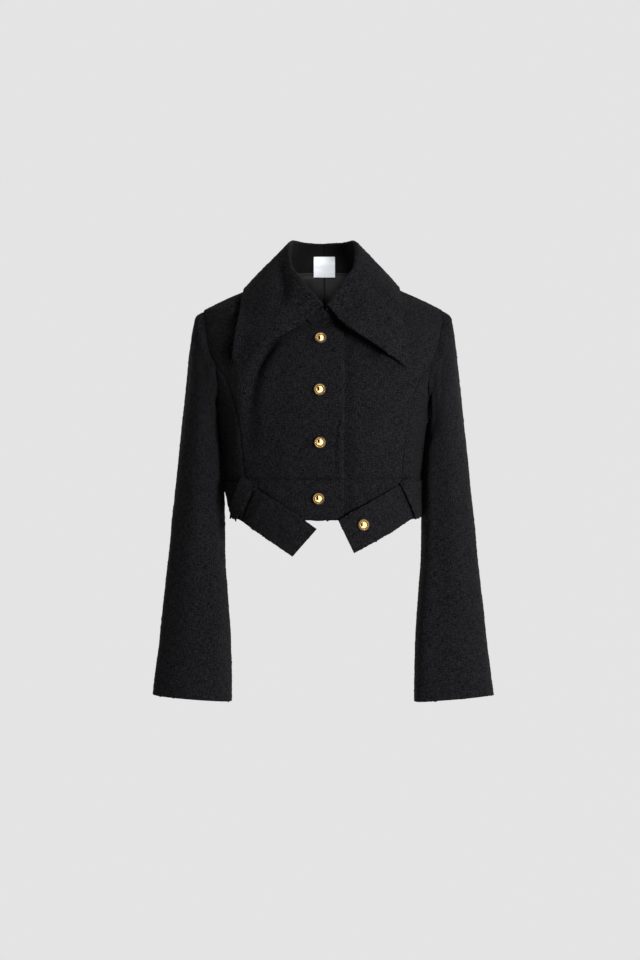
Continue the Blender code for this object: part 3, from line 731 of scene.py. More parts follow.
def make_waistband():
    heights = rows_between((HEM, 2.05), (WAIST - SEAM / 2, 0))
    first = turn_at(-UNDERLAP, heights)
    last = 360 + turn_at(LAP, heights)
    turns = turns_between(first, last, np.linspace(0, 1, 421))
    tall = as_wide(heights, turns)
    x = section(turns, tall)[..., 0]
    lift = np.where(turns < 90, underlap_lift(x, tall), 0)
    face, _ = cloth(turns, tall)
    creases = [crease for crease in FRONT_CREASES + BACK_CREASES[len(SIDE_SWELL):]
               if crease.path[-1][1] < WAIST + 1]
    # The cloth sinks behind the belt's upper edges
    creases += [Crease(((-112, -352), (-84, -371), (-54, -393), (-22, -417)), -3.6, 3.6, taper=0.05),
                Crease(((120, -354), (92, -369), (60, -387), (28, -406)), -3.0, 4.5, taper=0.05)]
    creases += [Crease(((-8, -372), (-30, -374), (-58, -368)), -0.5, 6),
                Crease(((44, -344), (62, -366), (74, -396)), -0.5, 9),
                Crease(((-52, -344), (-64, -370), (-60, -398)), -0.5, 9)]
    piece = body_panel("waistband", turns, tall, creases, 60, (tweed, satin), lift, facing=tall < 0,
                       grain=grain_of(face))
    sewn(piece, "waistband")


make_waistband()


# Sleeves
# Long sleeves set into the armholes, straight to the elbow and widening to an open cuff. Each has a seam
# down its back and one under the arm, and its hem is turned up inside.

Ring = namedtuple("Ring", "outer_x outer_z inner_x inner_z half_depth centre_y roundness")
SLEEVE = [
    Ring(209, -72, 181, -221, 58, 0, 0.15),
    Ring(214, -92, 177.5, -231, 60, 1, 0.35),
    Ring(219, -120, 175, -243, 61, 2, 0.6),
    Ring(223, -155, 172.5, -256, 61, 5, 0.85),
    Ring(227, -195, 169.5, -276, 60, 8, 1),
    Ring(232, -240, 167.5, -300, 59, 11, 1),
    Ring(238, -295, 166.5, -330, 57, 15, 1),
    Ring(243.5, -350, 165.5, -368, 55.5, 19, 1),
    Ring(250, -405, 165, -412, 54, 21, 1),
    Ring(255, -460, 163.5, -463, 51, 20, 1),
    Ring(261, -515, 160, -515, 48.5, 16, 1),
    Ring(267, -570, 155.5, -570, 46.5, 11, 1),
    Ring(273, -625, 152.5, -627, 45.5, 5, 1),
    Ring(279, -670, 150.5, -675, 44.5, 1, 1),
    Ring(282, -695.3, 150, -706, 44, 0, 1),
]
ARMHOLE_ROWS = (-63, -68, -76, -82, -86, -103, -117, -133, -150, -168, -184, -198, -209, -215)
SLEEVE_COLUMNS = 196
SLEEVE_STEP = 2.15
SLEEVE_SEAMS = (0.5, 0.69)  # under the arm and down the back, as parts of the way round
SLEEVE_SEAM_DEPTH = 0.9
HEAD_LIFT = 1.1  # the sleeve head's wadding lifts the cloth just past the seam
HEM_TURNED_UP = 34
# Folds on a sleeve: path is (way round, distance down) as parts of the whole. Way round is 0 at the shoulder,
# 0.25 in front, 0.5 under the arm and 0.75 behind.
SLEEVE_OWN_CREASES = {
    -1: [Crease(((0.36, 0.16), (0.375, 0.5), (0.375, 0.8), (0.375, 1.0)), 2.0, 13, taper=0.12)],
    1: [Crease(((0.35, 0.16), (0.37, 0.5), (0.37, 0.8), (0.37, 1.0)), 2.0, 14, taper=0.12)],
}
# The left sleeve is fuller towards the front beside the body: how far, at parts of the way down
Fullness = namedtuple("Fullness", "down forward")
FULLNESS = [Fullness(0.03, 0), Fullness(0.14, 9), Fullness(0.3, 16), Fullness(0.45, 17), Fullness(0.6, 15),
            Fullness(1, 13)]
SLEEVE_CREASES = [
    Crease(((0.5, 0.03), (0.5, 0.2), (0.5, 0.4), (0.5, 0.62)), 3.0, 17, taper=0.2),
    Crease(((0.5, 0.48), (0.5, 0.7), (0.5, 0.98)), 1.6, 20),
    Crease(((0.33, 0.10), (0.38, 0.17), (0.45, 0.22)), -2.6, 9),
    Crease(((0.28, 0.14), (0.33, 0.25), (0.42, 0.33)), -1.8, 11),
    Crease(((0.66, 0.10), (0.61, 0.18), (0.55, 0.24)), -2.6, 9),
    Crease(((0.72, 0.15), (0.67, 0.26), (0.58, 0.36)), -1.8, 12),
    Crease(((0.30, 0.46), (0.38, 0.50), (0.47, 0.49)), -2.0, 10),
    Crease(((0.27, 0.54), (0.36, 0.56), (0.46, 0.60)), -1.6, 11),
    Crease(((0.70, 0.50), (0.62, 0.54), (0.55, 0.53)), -1.3, 12),
    Crease(((0.15, 0.12), (0.17, 0.40), (0.14, 0.72), (0.17, 0.96)), -0.9, 13),
    Crease(((0.21, 0.30), (0.23, 0.55), (0.21, 0.85)), 1.1, 14),
    Crease(((0.03, 0.22), (0.06, 0.50), (0.04, 0.86)), 0.8, 14),
    Crease(((0.86, 0.20), (0.84, 0.50), (0.87, 0.90)), -1.1, 14),
    Crease(((0.62, 0.62), (0.63, 0.80), (0.61, 0.97)), -1.2, 14),
    Crease(((0.97, 0.02), (0.03, 0.06), (0.10, 0.05)), 1.0, 12),
]


def smooth_rows(rows, spacing):
    """More rows between some, along smooth lines through the points of each column."""
    gaps = np.linalg.norm(np.diff(rows, axis=0), axis=-1).mean(axis=1)
    at = np.insert(np.cumsum(gaps), 0, 0)
    slopes = np.gradient(rows, at, axis=0)
    places = np.linspace(0, at[-1], round(at[-1] / spacing) + 1)
    i = np.clip(np.searchsorted(at, places, "right") - 1, 0, len(at) - 2)
    step = (at[i + 1] - at[i])[:, None, None]
    part = (places - at[i])[:, None, None] / step
    return smooth_step(rows[i], rows[i + 1], slopes[i], slopes[i + 1], step, part)


def make_sleeve(name, side, seed):
    half = len(ARMHOLE_ROWS) - 1
    place = np.linspace(0, 2 * half, SLEEVE_COLUMNS, endpoint=False)
    height = through(ARMHOLE_ROWS)(np.where(place <= half, place, 2 * half - place))
    x = side * armhole_x(height)
    turn = np.where(place <= half, turn_at(x, height), turn_at(x, height, back=True))
    turn = np.where(height > SHOULDER_TIP - 0.01, side * 90.0, turn)
    armhole, body_normal = cloth(turn, height)
    armhole = armhole + np.array([side * 1.5 * SEAM, 0, 0])

    top, bottom = armhole[0], armhole[SLEEVE_COLUMNS // 2]
    centre, reach = (top + bottom) / 2, (top - bottom) / 2
    sideways = unit(np.array([-reach[2], 0, reach[0]]))
    depth = np.abs(armhole[:, 1]).max()
    angle = 2 * np.pi * place / (2 * half)
    rows = [armhole]
    for ring in SLEEVE:
        outer = np.array([side * ring.outer_x, ring.centre_y, ring.outer_z])
        inner = np.array([side * ring.inner_x, ring.centre_y, ring.inner_z])
        middle, ring_reach = (outer + inner) / 2, (outer - inner) / 2
        ring_sideways = unit(np.array([-ring_reach[2], 0, ring_reach[0]]))
        own = 1 - ring.roundness
        along = (armhole - centre) @ reach / (reach @ reach) * own + np.cos(angle) * ring.roundness
        deep = armhole[:, 1] / depth * own - np.sin(angle) * ring.roundness
        twist = (armhole - centre) @ sideways * own
        rows.append(middle + along[:, None] * ring_reach + deep[:, None] * np.array([0, ring.half_depth, 0])
                    + twist[:, None] * ring_sideways)
    face = smooth_rows(np.array(rows), SLEEVE_STEP)
    down = np.linspace(0, 1, len(face))
    if side > 0:
        forward = Curve(FULLNESS, "down", "forward")(np.maximum(down, 0.03))
        beside_body = np.exp(-((np.arange(SLEEVE_COLUMNS) / SLEEVE_COLUMNS - 0.43) / 0.082) ** 2)
        face[..., 1] -= forward[:, None] * beside_body
    lines = []
    for crease in SLEEVE_CREASES + SLEEVE_OWN_CREASES[side]:
        round_part, down_part = smooth_line(crease.path).T
        if abs(crease.path[0][0] - crease.path[1][0]) > 0.5:  # the fold passes over the shoulder line
            unrolled = [(part if part < 0.5 else part - 1, drop) for part, drop in crease.path]
            round_part, down_part = smooth_line(unrolled).T
        columns = np.round(round_part * SLEEVE_COLUMNS).astype(int) % SLEEVE_COLUMNS
        lines.append((face[np.round(down_part * (len(face) - 1)).astype(int), columns], crease))
    # The rows are turned to run upwards, and on the wearer's left the columns too, so that the faces look out
    face = face[::-1]
    if side > 0:
        face = np.concatenate([face[:, :1], face[:, :0:-1]], axis=1)
        body_normal = np.concatenate([body_normal[:1], body_normal[:0:-1]])
        height = np.concatenate([height[:1], height[:0:-1]])
    normal = grid_normals(face, closed=True)
    share = eased((height + 205) / 40)[None, :, None] * eased(1 - down[::-1] * len(face) / 5)[:, None, None]
    normal = unit(normal * (1 - share) + body_normal * share)
    rise = np.zeros(face.shape[:2])
    for line, crease in lines:
        rise += rise_along(face, line, crease.rise, crease.width, crease.taper)
    seams = np.zeros(SLEEVE_COLUMNS)
    for part in SLEEVE_SEAMS:
        column = round(part * SLEEVE_COLUMNS)
        seams[column if side < 0 else -column] = 1
    rise -= seams * SLEEVE_SEAM_DEPTH
    cap = np.exp(-((down[::-1] * len(face) - 4) / 3.5) ** 2)[:, None] * eased((height + 150) / 50)
    rise += HEAD_LIFT * cap
    ring_length = lengths(np.concatenate([face, face[:, :1]], axis=1), 1)
    ring_length -= ring_length[:, SLEEVE_COLUMNS // 4:SLEEVE_COLUMNS // 4 + 1]
    up = lengths(face, 0)[:, :1] + np.zeros((1, SLEEVE_COLUMNS + 1))
    grain = np.stack([ring_length, up], axis=-1) * MM
    facing = np.repeat(up[:, :1] < HEM_TURNED_UP, SLEEVE_COLUMNS, axis=1)
    face = face + normal * rise[..., None]
    piece = shell(name, face, normal, grain, WALL, (tweed, satin), seed, closed=True, facing=facing)
    sewn(piece, name)


make_sleeve("sleeve_right", -1, 70)
make_sleeve("sleeve_left", 1, 80)


# Collar
# Two layers of tweed turned and pressed as one piece. It stands up from the neckline, rolls over and falls
# to its outer edge, with a long pointed wing on each front. Angles run from the centre back (0) to the
# centre front (180).

Place = namedtuple("Place", "angle x y z")
ROLL_LINE = [Place(0, 0, 60, 51), Place(30, 29, 51.5, 52.5), Place(45, 42, 42, 54.5), Place(60, 49, 30, 55),
             Place(75, 54.5, 15.5, 52), Place(90, 57, 0, 45.5), Place(105, 56, -18, 30),
             Place(120, 52, -36, 12),
             Place(135, 42, -50, -3), Place(150, 29, -61, -19), Place(165, 15, -70, -37),
             Place(180, 1.6, -79, -55)]
OUTER_EDGE = [Place(0, 0, 85, -42), Place(30, 65, 72, -44), Place(45, 92, 61, -44.5), Place(60, 112, 45, -40),
              Place(75, 123, 21, -33), Place(90, 127.5, 0, -27.5), Place(112, 131, -32, -54),
              Place(135, 133, -57, -90)]
WING_TIP = {-1: Place(180, 141, -88, -148), 1: Place(180, 136, -94, -152)}
OUTER_REACH = {-1: 1.02, 1: 0.98}
# How far the wings' front edges curve down below a straight line, at parts of the way from neck to tip
Drop = namedtuple("Drop", "part fall")
WING_DROP = {-1: [Drop(0, 0), Drop(0.2, 8), Drop(0.4, 12.5), Drop(0.7, 11.5), Drop(1, 8)],
             1: [Drop(0, 0), Drop(0.2, 11), Drop(0.4, 13.5), Drop(0.7, 10.5), Drop(1, 4.5)]}
CENTRE_SHIFT = 3.0
COLLAR_WALL = 3
ROLL_RADIUS = 4.5
FALL_BULGE = 1.5
REST_GAP = 1.0
WING_GAP = 4.0
CENTRE_FRONT_ANGLE = 179.4
STAND_STEPS, TURN_STEPS, FALL_STEPS = 20, 9, 66
FALL_START = STAND_STEPS - 1 + TURN_STEPS  # the row where the fall begins
# Folds on the collar: path is (angle, part of the way down the fall), and the first value's sign is the side
WING_LIFTS = [  # the wings' front edges stand forward of the chest
    Crease(((177, 0.02), (177, 0.35), (177, 0.65), (177, 1.0)), 21.0, 34, taper=0.32),
    Crease(((-177, 0.02), (-177, 0.35), (-177, 0.65), (-177, 1.0)), 15.0, 36, taper=0.4),
    Crease(((-96, 0.0), (-118, 0.0), (-140, 0.0), (-160, 0.0), (-174, 0.1)), 9.0, 28, taper=0.35),
]
COLLAR_CREASES = [
    Crease(((-116, 1.0), (-140, 1.0), (-160, 1.0), (-177, 1.0)), 4.5, 10, taper=0.2),
    Crease(((-92, 0.13), (-112, 0.15), (-128, 0.2), (-142, 0.29), (-156, 0.4)), -9.5, 13.5),
    Crease(((-112, 0.25), (-118, 0.5), (-126, 0.8)), 1.3, 10),
    Crease(((-160, 0.2), (-163, 0.5), (-166, 0.8)), 1.2, 10),
    Crease(((-100, 0.3), (-106, 0.6), (-112, 0.95)), -1.0, 8),
    Crease(((118, 0.15), (126, 0.4), (138, 0.7)), -1.2, 12),
    Crease(((150, 0.2), (158, 0.5), (163, 0.85)), 1.0, 12),
    Crease(((60, 0.2), (64, 0.5), (66, 0.9)), -1.0, 10),
    Crease(((-56, 0.2), (-60, 0.5), (-62, 0.9)), -1.1, 10),
    Crease(((10, 0.3), (12, 0.6), (9, 0.95)), -0.8, 10),
]


def clear_of_cloth(points, gap):
    """Move points out until they lie at least about this gap from the body."""
    face, normal = cloth(turn_of(points), points[..., 2])
    distance = ((points - face) * normal).sum(axis=-1)
    wanted = (distance + gap + np.hypot(distance - gap, 1.5)) / 2
    moved = points + normal * (wanted - distance)[..., None]
    return np.where(points[..., 2:] > -1, points, moved)


def neckline_base(angle, side):
    """Points where the collar's foot is sewn on, for one half."""
    across, ahead = np.sin(np.radians(angle)), -np.cos(np.radians(angle))
    y = -np.where(ahead > 0, NECK_FRONT_DEPTH, NECK_BACK_DEPTH) * ahead
    x = NECK_HALF_WIDTH * across

    def is_inside(height):
        power = front_power(height)
        return (x / half_width(height)) ** power + (np.abs(y) / front_depth(height)) ** power < 1

    low, _ = halved(np.full(angle.shape, -110.0), np.zeros(angle.shape), is_inside)
    base = np.stack([x, y, np.where(ahead > 0, low, 0)], axis=-1)
    sunk = np.where((ahead > 0) & (side > 0), underlap_lift(x, low), 0)
    return base + cloth(turn_of(base), base[..., 2])[1] * sunk[..., None]


def collar_half(side, angle):
    """The collar of one half, as a grid whose rows run up the stand, over the roll and down the fall."""
    base = neckline_base(angle, side)
    roll_curves = [Curve(ROLL_LINE, "angle", axis) for axis in "xyz"]
    edge_curves = [Curve(OUTER_EDGE + [WING_TIP[side]], "angle", axis) for axis in "xyz"]
    roll_at = lambda at: np.stack([curve(at) for curve in roll_curves], axis=-1)
    neck_depth = np.where(base[:, 1] < 0, NECK_FRONT_DEPTH, NECK_BACK_DEPTH)
    outward = unit(np.stack([base[:, 0] / NECK_HALF_WIDTH ** 2, base[:, 1] / neck_depth ** 2,
                             np.zeros(len(base))], axis=-1))
    foot = base - outward * (SEAM + COLLAR_WALL) + np.array([0, 0, 2 * SEAM])
    along = unit(roll_at(angle + 1) - roll_at(angle - 1))
    out = unit(outward - along * (outward * along).sum(axis=-1, keepdims=True))
    top = np.cross(along, out)
    axis = roll_at(angle) - top * ROLL_RADIUS
    tip = np.stack([curve(angle) for curve in edge_curves], axis=-1) * np.array([OUTER_REACH[side], 1, 1])
    gap = COLLAR_WALL + REST_GAP
    wing_gap = WING_GAP * eased((angle - 95) / 60)
    tip = clear_of_cloth(tip, gap + wing_gap)
    fall_angle = np.arctan2(-((tip - axis) * top).sum(axis=-1), ((tip - axis) * out).sum(axis=-1))
    rows = [foot + (axis - out * ROLL_RADIUS - foot) * part for part in np.linspace(0, 1, STAND_STEPS)[:-1]]
    for part in np.linspace(0, 1, TURN_STEPS):
        theta = (np.pi + (-np.pi / 2 - fall_angle) * part)[:, None]
        rows.append(axis + (out * np.cos(theta) + top * np.sin(theta)) * ROLL_RADIUS)
    leave = rows[-1]
    bulge = unit(leave - axis) * FALL_BULGE
    fall_at = Curve(WING_DROP[side], "part", "fall")
    for part in np.linspace(0, 1, FALL_STEPS)[1:]:
        point = leave + (tip - leave) * part + bulge * np.sin(np.pi * part)
        point[:, 2] -= fall_at(part) * eased((angle - 136) / 40)
        rows.append(clear_of_cloth(point, gap + wing_gap * part))
    return np.array(rows) * np.array([side, 1, 1])


def make_stand_shade_wool():
    """Plain black wool inside the stand, coloured darker than the tweed as painted shade."""
    material, start, grain, paint = new_material("plain black wool with painted shade", 0.9, sheen=0.02, specular=0.03)
    slubs = start.noise(grain, (0.8, 6.0))
    paint("Base Color", slubs.mix((0.0045, 0.0045, 0.0048, 1), (0.008, 0.008, 0.0086, 1)))
    return material


def collar_rise(face, signed, creases):
    """How far folds lift the collar's points, whose columns have these signed angles."""
    rise = np.zeros(face.shape[:2])
    for crease in creases:
        at, part = smooth_line(crease.path).T
        columns = np.round(np.interp(at, signed, np.arange(len(signed)))).astype(int)
        rows = FALL_START + np.round(part * (len(face) - 1 - FALL_START)).astype(int)
        rise += rise_along(face, face[rows, columns], crease.rise, crease.width, crease.taper)
    return rise


def make_collar():
    angle = np.concatenate([np.linspace(0, 90, 62), np.linspace(90, CENTRE_FRONT_ANGLE, 84)[1:]])
    right, left = collar_half(-1, angle), collar_half(1, angle)
    face = np.concatenate([right[:, ::-1], left[:, 1:]], axis=1)
    signed = np.concatenate([-angle[::-1], angle[1:]])
    # In front the foot of the stand is drawn back under the wings, and its ends pass each other
    stand = np.linspace(1, 0, STAND_STEPS)[:, None] * eased((np.abs(signed) - 138) / 40)
    share = np.where(signed > 0, 1, 0.7)[None, :, None]
    face[:STAND_STEPS] += stand[..., None] * np.array([[[0, 14, -17]]]) * share
    past = np.minimum(6 * stand, 1) * eased((np.abs(signed) - 166) / 11)
    face[:STAND_STEPS, :, 0] -= np.where(signed > 0, 8, -4.5) * past
    face[:STAND_STEPS, :, 1] += np.where(signed > 0, 3.5, 0) * past
    # The wings meet a little to the left of the middle
    toward_tip = np.clip((np.arange(len(face)) - FALL_START) / (len(face) - 1 - FALL_START), 0, 1)[:, None]
    face[..., 0] += CENTRE_SHIFT * eased((np.abs(signed) - 150) / 28) * (1 - toward_tip) ** 2
    face[..., 1] -= collar_rise(face, signed, WING_LIFTS)
    normal = grid_normals(face)
    rise = collar_rise(face, signed, COLLAR_CREASES)
    middle = len(angle) - 1
    grain = grain_of(face, middle, middle)
    piece = shell("collar", face + normal * rise[..., None], normal, grain, COLLAR_WALL, (tweed,), 90)
    # The stand's rows take the plain wool, whose darker colour paints the shade inside the neck
    piece.data.materials.append(make_stand_shade_wool())
    slots = np.zeros(len(piece.data.polygons), np.int32)
    slots[:STAND_STEPS * (face.shape[1] - 1)] = 1
    piece.data.polygons.foreach_set("material_index", slots)
    sewn(piece, "collar")


make_collar()


# Belt
# A flat strap of two layers of tweed that lies round the back and through the loops. Its two square ends
# hang free over the hem in front: the one on the wearer's right has a buttonhole and the other one its
# button.

Station = namedtuple("Station", "turn height lift")
BELT_WIDTH = 60
BELT_WALL = 3
BELT = [Station(12.6, -432, 14), Station(24.1, -415, 11), Station(37, -396.5, 7.5), Station(53, -377.5, 4.3),
        Station(62, -373.5, 3.7), Station(90, -371, 3.7), Station(120, -370.5, 3.7), Station(180, -370, 3.7),
        Station(240, -370.5, 3.7), Station(270, -371, 3.7), Station(298, -374, 3.7),
        Station(307.5, -379, 3.9), Station(321.8, -398.5, 6), Station(335.2, -420.5, 5.5),
        Station(346.9, -441, 4)]
BELT_BENDS = 62, 298  # the turns where the ends leave the band and drop
BELT_STEPS = 28  # across its width
ASKEW, ASKEW_COLUMNS = 5, 40  # how far the buttonhole end's corners hang askew, and over how many columns
LOOP_PINCH_X = -125  # where the right loop presses on it
# Folds straight across the belt, at columns of its face
Across = namedtuple("Across", "column rise width")
BELT_CREASES = [Across(40, -0.8, 9), Across(66, 0.7, 8), Across(96, -0.9, 6), Across(392, -0.9, 6),
                Across(424, 0.8, 9), Across(452, -0.8, 10), Across(150, -0.7, 12), Across(210, 0.6, 14),
                Across(300, -0.7, 13)]


def strip(turn, height, lift, width, steps, tilt=0.0):
    """A band laid over the cloth along its stations, as rows from its lower edge to its upper one."""
    centre, normal = cloth(turn, height, lift)
    across = unit(np.cross(normal, unit(np.gradient(centre, axis=0))))
    rows = []
    for offset in np.linspace(-width / 2, width / 2, steps + 1):
        point = centre + across * offset
        rows.append(cloth(turn_of(point), point[:, 2], lift + tilt * offset)[0])
    return np.array(rows)


def belt_strip(turn, steps):
    height, lift = Curve(BELT, "turn", "height"), Curve(BELT, "turn", "lift")
    return strip(turn, height(turn), lift(turn), BELT_WIDTH, steps)


def make_belt():
    # The two ends are short steps in turn, so that stations are about evenly spaced
    first_bend, last_bend = BELT_BENDS
    turn = np.concatenate([np.linspace(BELT[0].turn, first_bend, 90),
                           np.linspace(first_bend, last_bend, 300)[1:],
                           np.linspace(last_bend, BELT[-1].turn, 90)[1:]])
    face = belt_strip(turn, BELT_STEPS)
    middle = BELT_STEPS // 2
    toward_end = eased((np.arange(len(turn)) - len(turn) + 1 + ASKEW_COLUMNS) / ASKEW_COLUMNS)
    askew = np.linspace(-ASKEW, ASKEW, BELT_STEPS + 1)[:, None] * toward_end
    face += askew[..., None] * unit(face[middle, -1] - face[middle, -8])
    normal = grid_normals(face)
    rise = 1.15 * body_rise(face, SIDE_SWELL)
    pinch = int(np.argmin(np.abs(face[middle, :, 0] - LOOP_PINCH_X)))
    for crease in [Across(pinch, -3.4, 3.2), Across(pinch + 14, 1.6, 7), *BELT_CREASES]:
        line = face[::4, crease.column]
        line = line + (line - face[::4, crease.column - 3]) * np.linspace(-1, 1, len(line))[:, None]
        rise += rise_along(face, line, crease.rise, crease.width, taper=0.15)
    piece = shell("belt", face + normal * rise[..., None], normal, grain_of(face), BELT_WALL, (tweed,), 100)
    sewn(piece, "belt")


make_belt()


# Belt loops
# Two short straps of tweed, sewn into the waist seam at the top and behind the band's hem at the bottom.

LOOP_WIDTH = 25
LOOP_WALL = 2
LOOP = [Station(0, -338.2, 2.4), Station(0, -341, 4.5), Station(0, -344.5, 8.6), Station(0, -362, 9.6),
        Station(0, -380, 9.6), Station(0, -391, 9.6), Station(0, -396, 9), Station(0, -399, 7.5)]
LOOP_ENDS = {-1: (-123, -143), 1: (133, 151)}
LOOP_TILT = {-1: -0.16, 1: -0.08}  # the belt's pull turns them


def make_loop(name, side, seed):
    top_x, bottom_x = LOOP_ENDS[side]
    lift_at = Curve(LOOP, "height", "lift")
    height = np.linspace(LOOP[0].height, LOOP[-1].height, 34)
    x = top_x + (bottom_x - top_x) * (height - height[0]) / (height[-1] - height[0])
    tilt = LOOP_TILT[side] * eased((height[0] - height) / 12)
    face = strip(turn_at(x, height), height, lift_at(height), LOOP_WIDTH, 13, tilt)
    normal = grid_normals(face)
    piece = shell(name, face, normal, grain_of(face), LOOP_WALL, (tweed,), seed)
    sewn(piece, name)


make_loop("belt_loop_right", -1, 110)
make_loop("belt_loop_left", 1, 120)


# Lining
# Black satin behind the back's cloth, with an ease pleat down the middle that is pressed to one side. It
# shows inside the neck.

PLEAT_X = 3
LINING_TUCK = 2.2  # its top edge goes this far behind the stand of the collar


def make_lining():
    thickness, edge_inset, play = 1.0, 10.0, 3.4
    heights = rows_between((-335, 4), (-150, 2.5), (SHOULDER_TIP, 1.4), (4.4, 0))
    begin, end = back_edges(heights, edge_inset)
    middle = turn_at(PLEAT_X, heights, back=True)
    steps = np.concatenate([-np.geomspace(0.35, 12, 16)[::-1], [0], np.geomspace(0.35, 12, 16)])
    inner = np.stack([beside(middle, heights, step) for step in steps], axis=1)
    parts = np.linspace(0, 1, 40)
    left, right = turns_between(begin, inner[:, 0], parts[:-1]), turns_between(inner[:, -1], end, parts[1:])
    turns = np.concatenate([left, inner, right], axis=1)
    tall = as_wide(heights, turns)
    x = section(turns, tall)[..., 0] - PLEAT_X
    # The cloth stands up on both sides of the pleat and sinks between them
    pleat = 5.4 * np.exp(-(x / 1.5) ** 2) - 3.0 * np.exp(-np.abs(x) / 9)
    pleat -= 0.5 * np.exp(-((x + 16) / 1.2) ** 2)
    pleat += 0.45 * np.exp(-((x - 17) / 2) ** 2)
    face, normal = cloth(turns, tall, -WALL - play)
    tuck = LINING_TUCK * eased((tall + 5) / 5)
    face = face + normal * (pleat - 0.35 + tuck)[..., None]
    middle_column = left.shape[1] + len(steps) // 2
    # The side that shows is the inner one, so the face is turned round
    face, normal = face[:, ::-1] - normal[:, ::-1] * thickness, -normal[:, ::-1]
    # Its satin has the pleat's shadow painted down the middle as a dark line
    pleat_shadowed_satin = make_satin("black satin with a painted pleat shadow", 1.9)
    grain = grain_of(face, middle_column, middle_column)
    piece = shell("lining_back", face, normal, grain, thickness, (pleat_shadowed_satin,))
    sewn(piece, "lining_back")


make_lining()


# Label
# A blank label of white satin ribbon, folded under at its ends and caught along its top edge inside the
# collar.

def make_label():
    left, right, top, bottom, thickness = -15.6, 19.9, 28.8, -6.0, 0.8
    height = np.linspace(bottom, top, 30)[:, None]
    x = np.linspace(right, left, 28)[None]
    inside = NECK_BACK_DEPTH - COLLAR_WALL - SEAM
    curve = inside * np.sqrt(1 - (x / (NECK_HALF_WIDTH - COLLAR_WALL)) ** 2)
    y = curve - 1 - 9 * eased((17 - height) / 12)  # it hangs out over the lining's top edge
    x, height = np.broadcast_arrays(x, height)
    face = np.stack([x, y, height], axis=-1)
    material, start, grain, paint = new_material("white satin ribbon", 0.45, sheen=0.1, specular=0.2)
    ribs = start.noise(grain, (0.25, 6.0))
    edge = start.noise(grain, (5.0, 5.0))
    paint("Base Color", (ribs * 0.6 + edge * 0.4).mix((0.70, 0.73, 0.77, 1), (0.86, 0.89, 0.92, 1)))
    paint("Normal", start.node("ShaderNodeBump", {"Strength": 0.3, "Distance": 0.2 * MM, "Height": ribs}))
    normal = grid_normals(face)
    piece = shell("neck_label", face, normal, grain_of(face), thickness, (material,))
    sewn(piece, "neck_label")


make_label()


# Buttons
# Gold plated, 20 mm across: a smooth dome set in a twisted rope rim, on a short shank. Four close the front
# and one is on the belt's free end.

BUTTON_AT = [(-4, -109.5), (-5.5, -191.8), (-5, -276.5), (-7.2, -369.2)]  # x and height
BELT_BUTTON_TURN = 23.743
BELT_BUTTON_SHIFT = (-2.8, 0, 2.6)  # from the belt's middle line
DOME_COLUMNS = 96
ROPE_TWISTS = 26
ROPE_SIDES = 15
ROPE_RADIUS, ROPE_HEIGHT, ROPE_THICKNESS = 8.5, 3.7, 1.45
Turned = namedtuple("Turned", "radius height")
DOME = [Turned(0, 7.2), Turned(1.4, 7.08), Turned(2.8, 6.7), Turned(4.0, 6.1), Turned(5.0, 5.3),
        Turned(5.7, 4.5),
        Turned(6.1, 3.8), Turned(6.5, 3.2), Turned(7.6, 3.0), Turned(8.8, 2.4), Turned(8.4, 1.7),
        Turned(2.6, 1.7),
        Turned(2.6, 0), Turned(0, 0)]


def make_gold():
    material, start, _, paint = new_material("polished gold plate", 0.2, metallic=1.0)
    place = start.node("ShaderNodeTexCoord", {}, output="Object")
    scuffs = start.node("ShaderNodeTexNoise", {"Vector": place, "Scale": 900.0, "Detail": 3.0})
    # Painted shade and painted dark reflection: dark brown and less metallic in the groove round the dome,
    # between the rope's twists and on its outer side
    button_shade = start.node("ShaderNodeAttribute", {}, output="Fac", attribute_name="button_shade")
    paint("Base Color", button_shade.mix((0.93, 0.68, 0.32, 1), (0.03, 0.017, 0.006, 1)))
    paint("Roughness", 0.08 + scuffs * 0.1 + button_shade * 0.3)
    paint("Metallic", 1.0 - button_shade * 0.8)
    return material


def turned_faces(first, rings, around):
    """Quads between rings of points that close on themselves."""
    index = first + np.arange(rings * around).reshape(rings, around)
    after = np.roll(index, -1, axis=1)
    return np.stack([index[:-1], after[:-1], after[1:], index[1:]], axis=-1).reshape(-1, 4).tolist()


def make_button_mesh(material):
    angle = np.linspace(0, 2 * np.pi, DOME_COLUMNS, endpoint=False)
    dome = np.array([(max(spot.radius, 0.02) * np.cos(angle), max(spot.radius, 0.02) * np.sin(angle),
                      np.full(DOME_COLUMNS, float(spot.height))) for spot in DOME]).transpose(0, 2, 1)
    around = np.linspace(0, 2 * np.pi, 6 * ROPE_TWISTS, endpoint=False)
    tube = np.linspace(0, 2 * np.pi, ROPE_SIDES)[:, None]
    lobe = np.abs(np.cos((ROPE_TWISTS * around[None] - tube) / 2)) ** 0.7
    thick = ROPE_THICKNESS * (0.68 + 0.32 * lobe)
    radius = ROPE_RADIUS - thick * np.cos(tube)
    rope = np.stack([radius * np.cos(around), radius * np.sin(around),
                     ROPE_HEIGHT + thick * np.sin(tube)], axis=-1)
    mesh = bpy.data.meshes.new("button")
    faces = turned_faces(0, len(DOME), DOME_COLUMNS) + turned_faces(dome.size // 3, ROPE_SIDES, len(around))
    mesh.from_pydata((np.concatenate([dome.reshape(-1, 3), rope.reshape(-1, 3)]) * MM).tolist(), [], faces)
    # Painted shade and dark reflection: the groove below the dome, and the rope between its twists and on its
    # outer side
    button_shade = np.zeros(dome.shape[:2])
    button_shade[6:9] = 0.9
    rope_shade = np.clip(np.clip(1 - lobe * 1.6, 0, 1) + eased((radius - 7.5) / 0.8), 0, 1)
    values = np.concatenate([button_shade.ravel(), rope_shade.ravel()])
    mesh.attributes.new("button_shade", "FLOAT", "POINT").data.foreach_set("value", values.astype(np.float32))
    mesh.materials.append(material)
    mesh.shade_smooth()
    return mesh


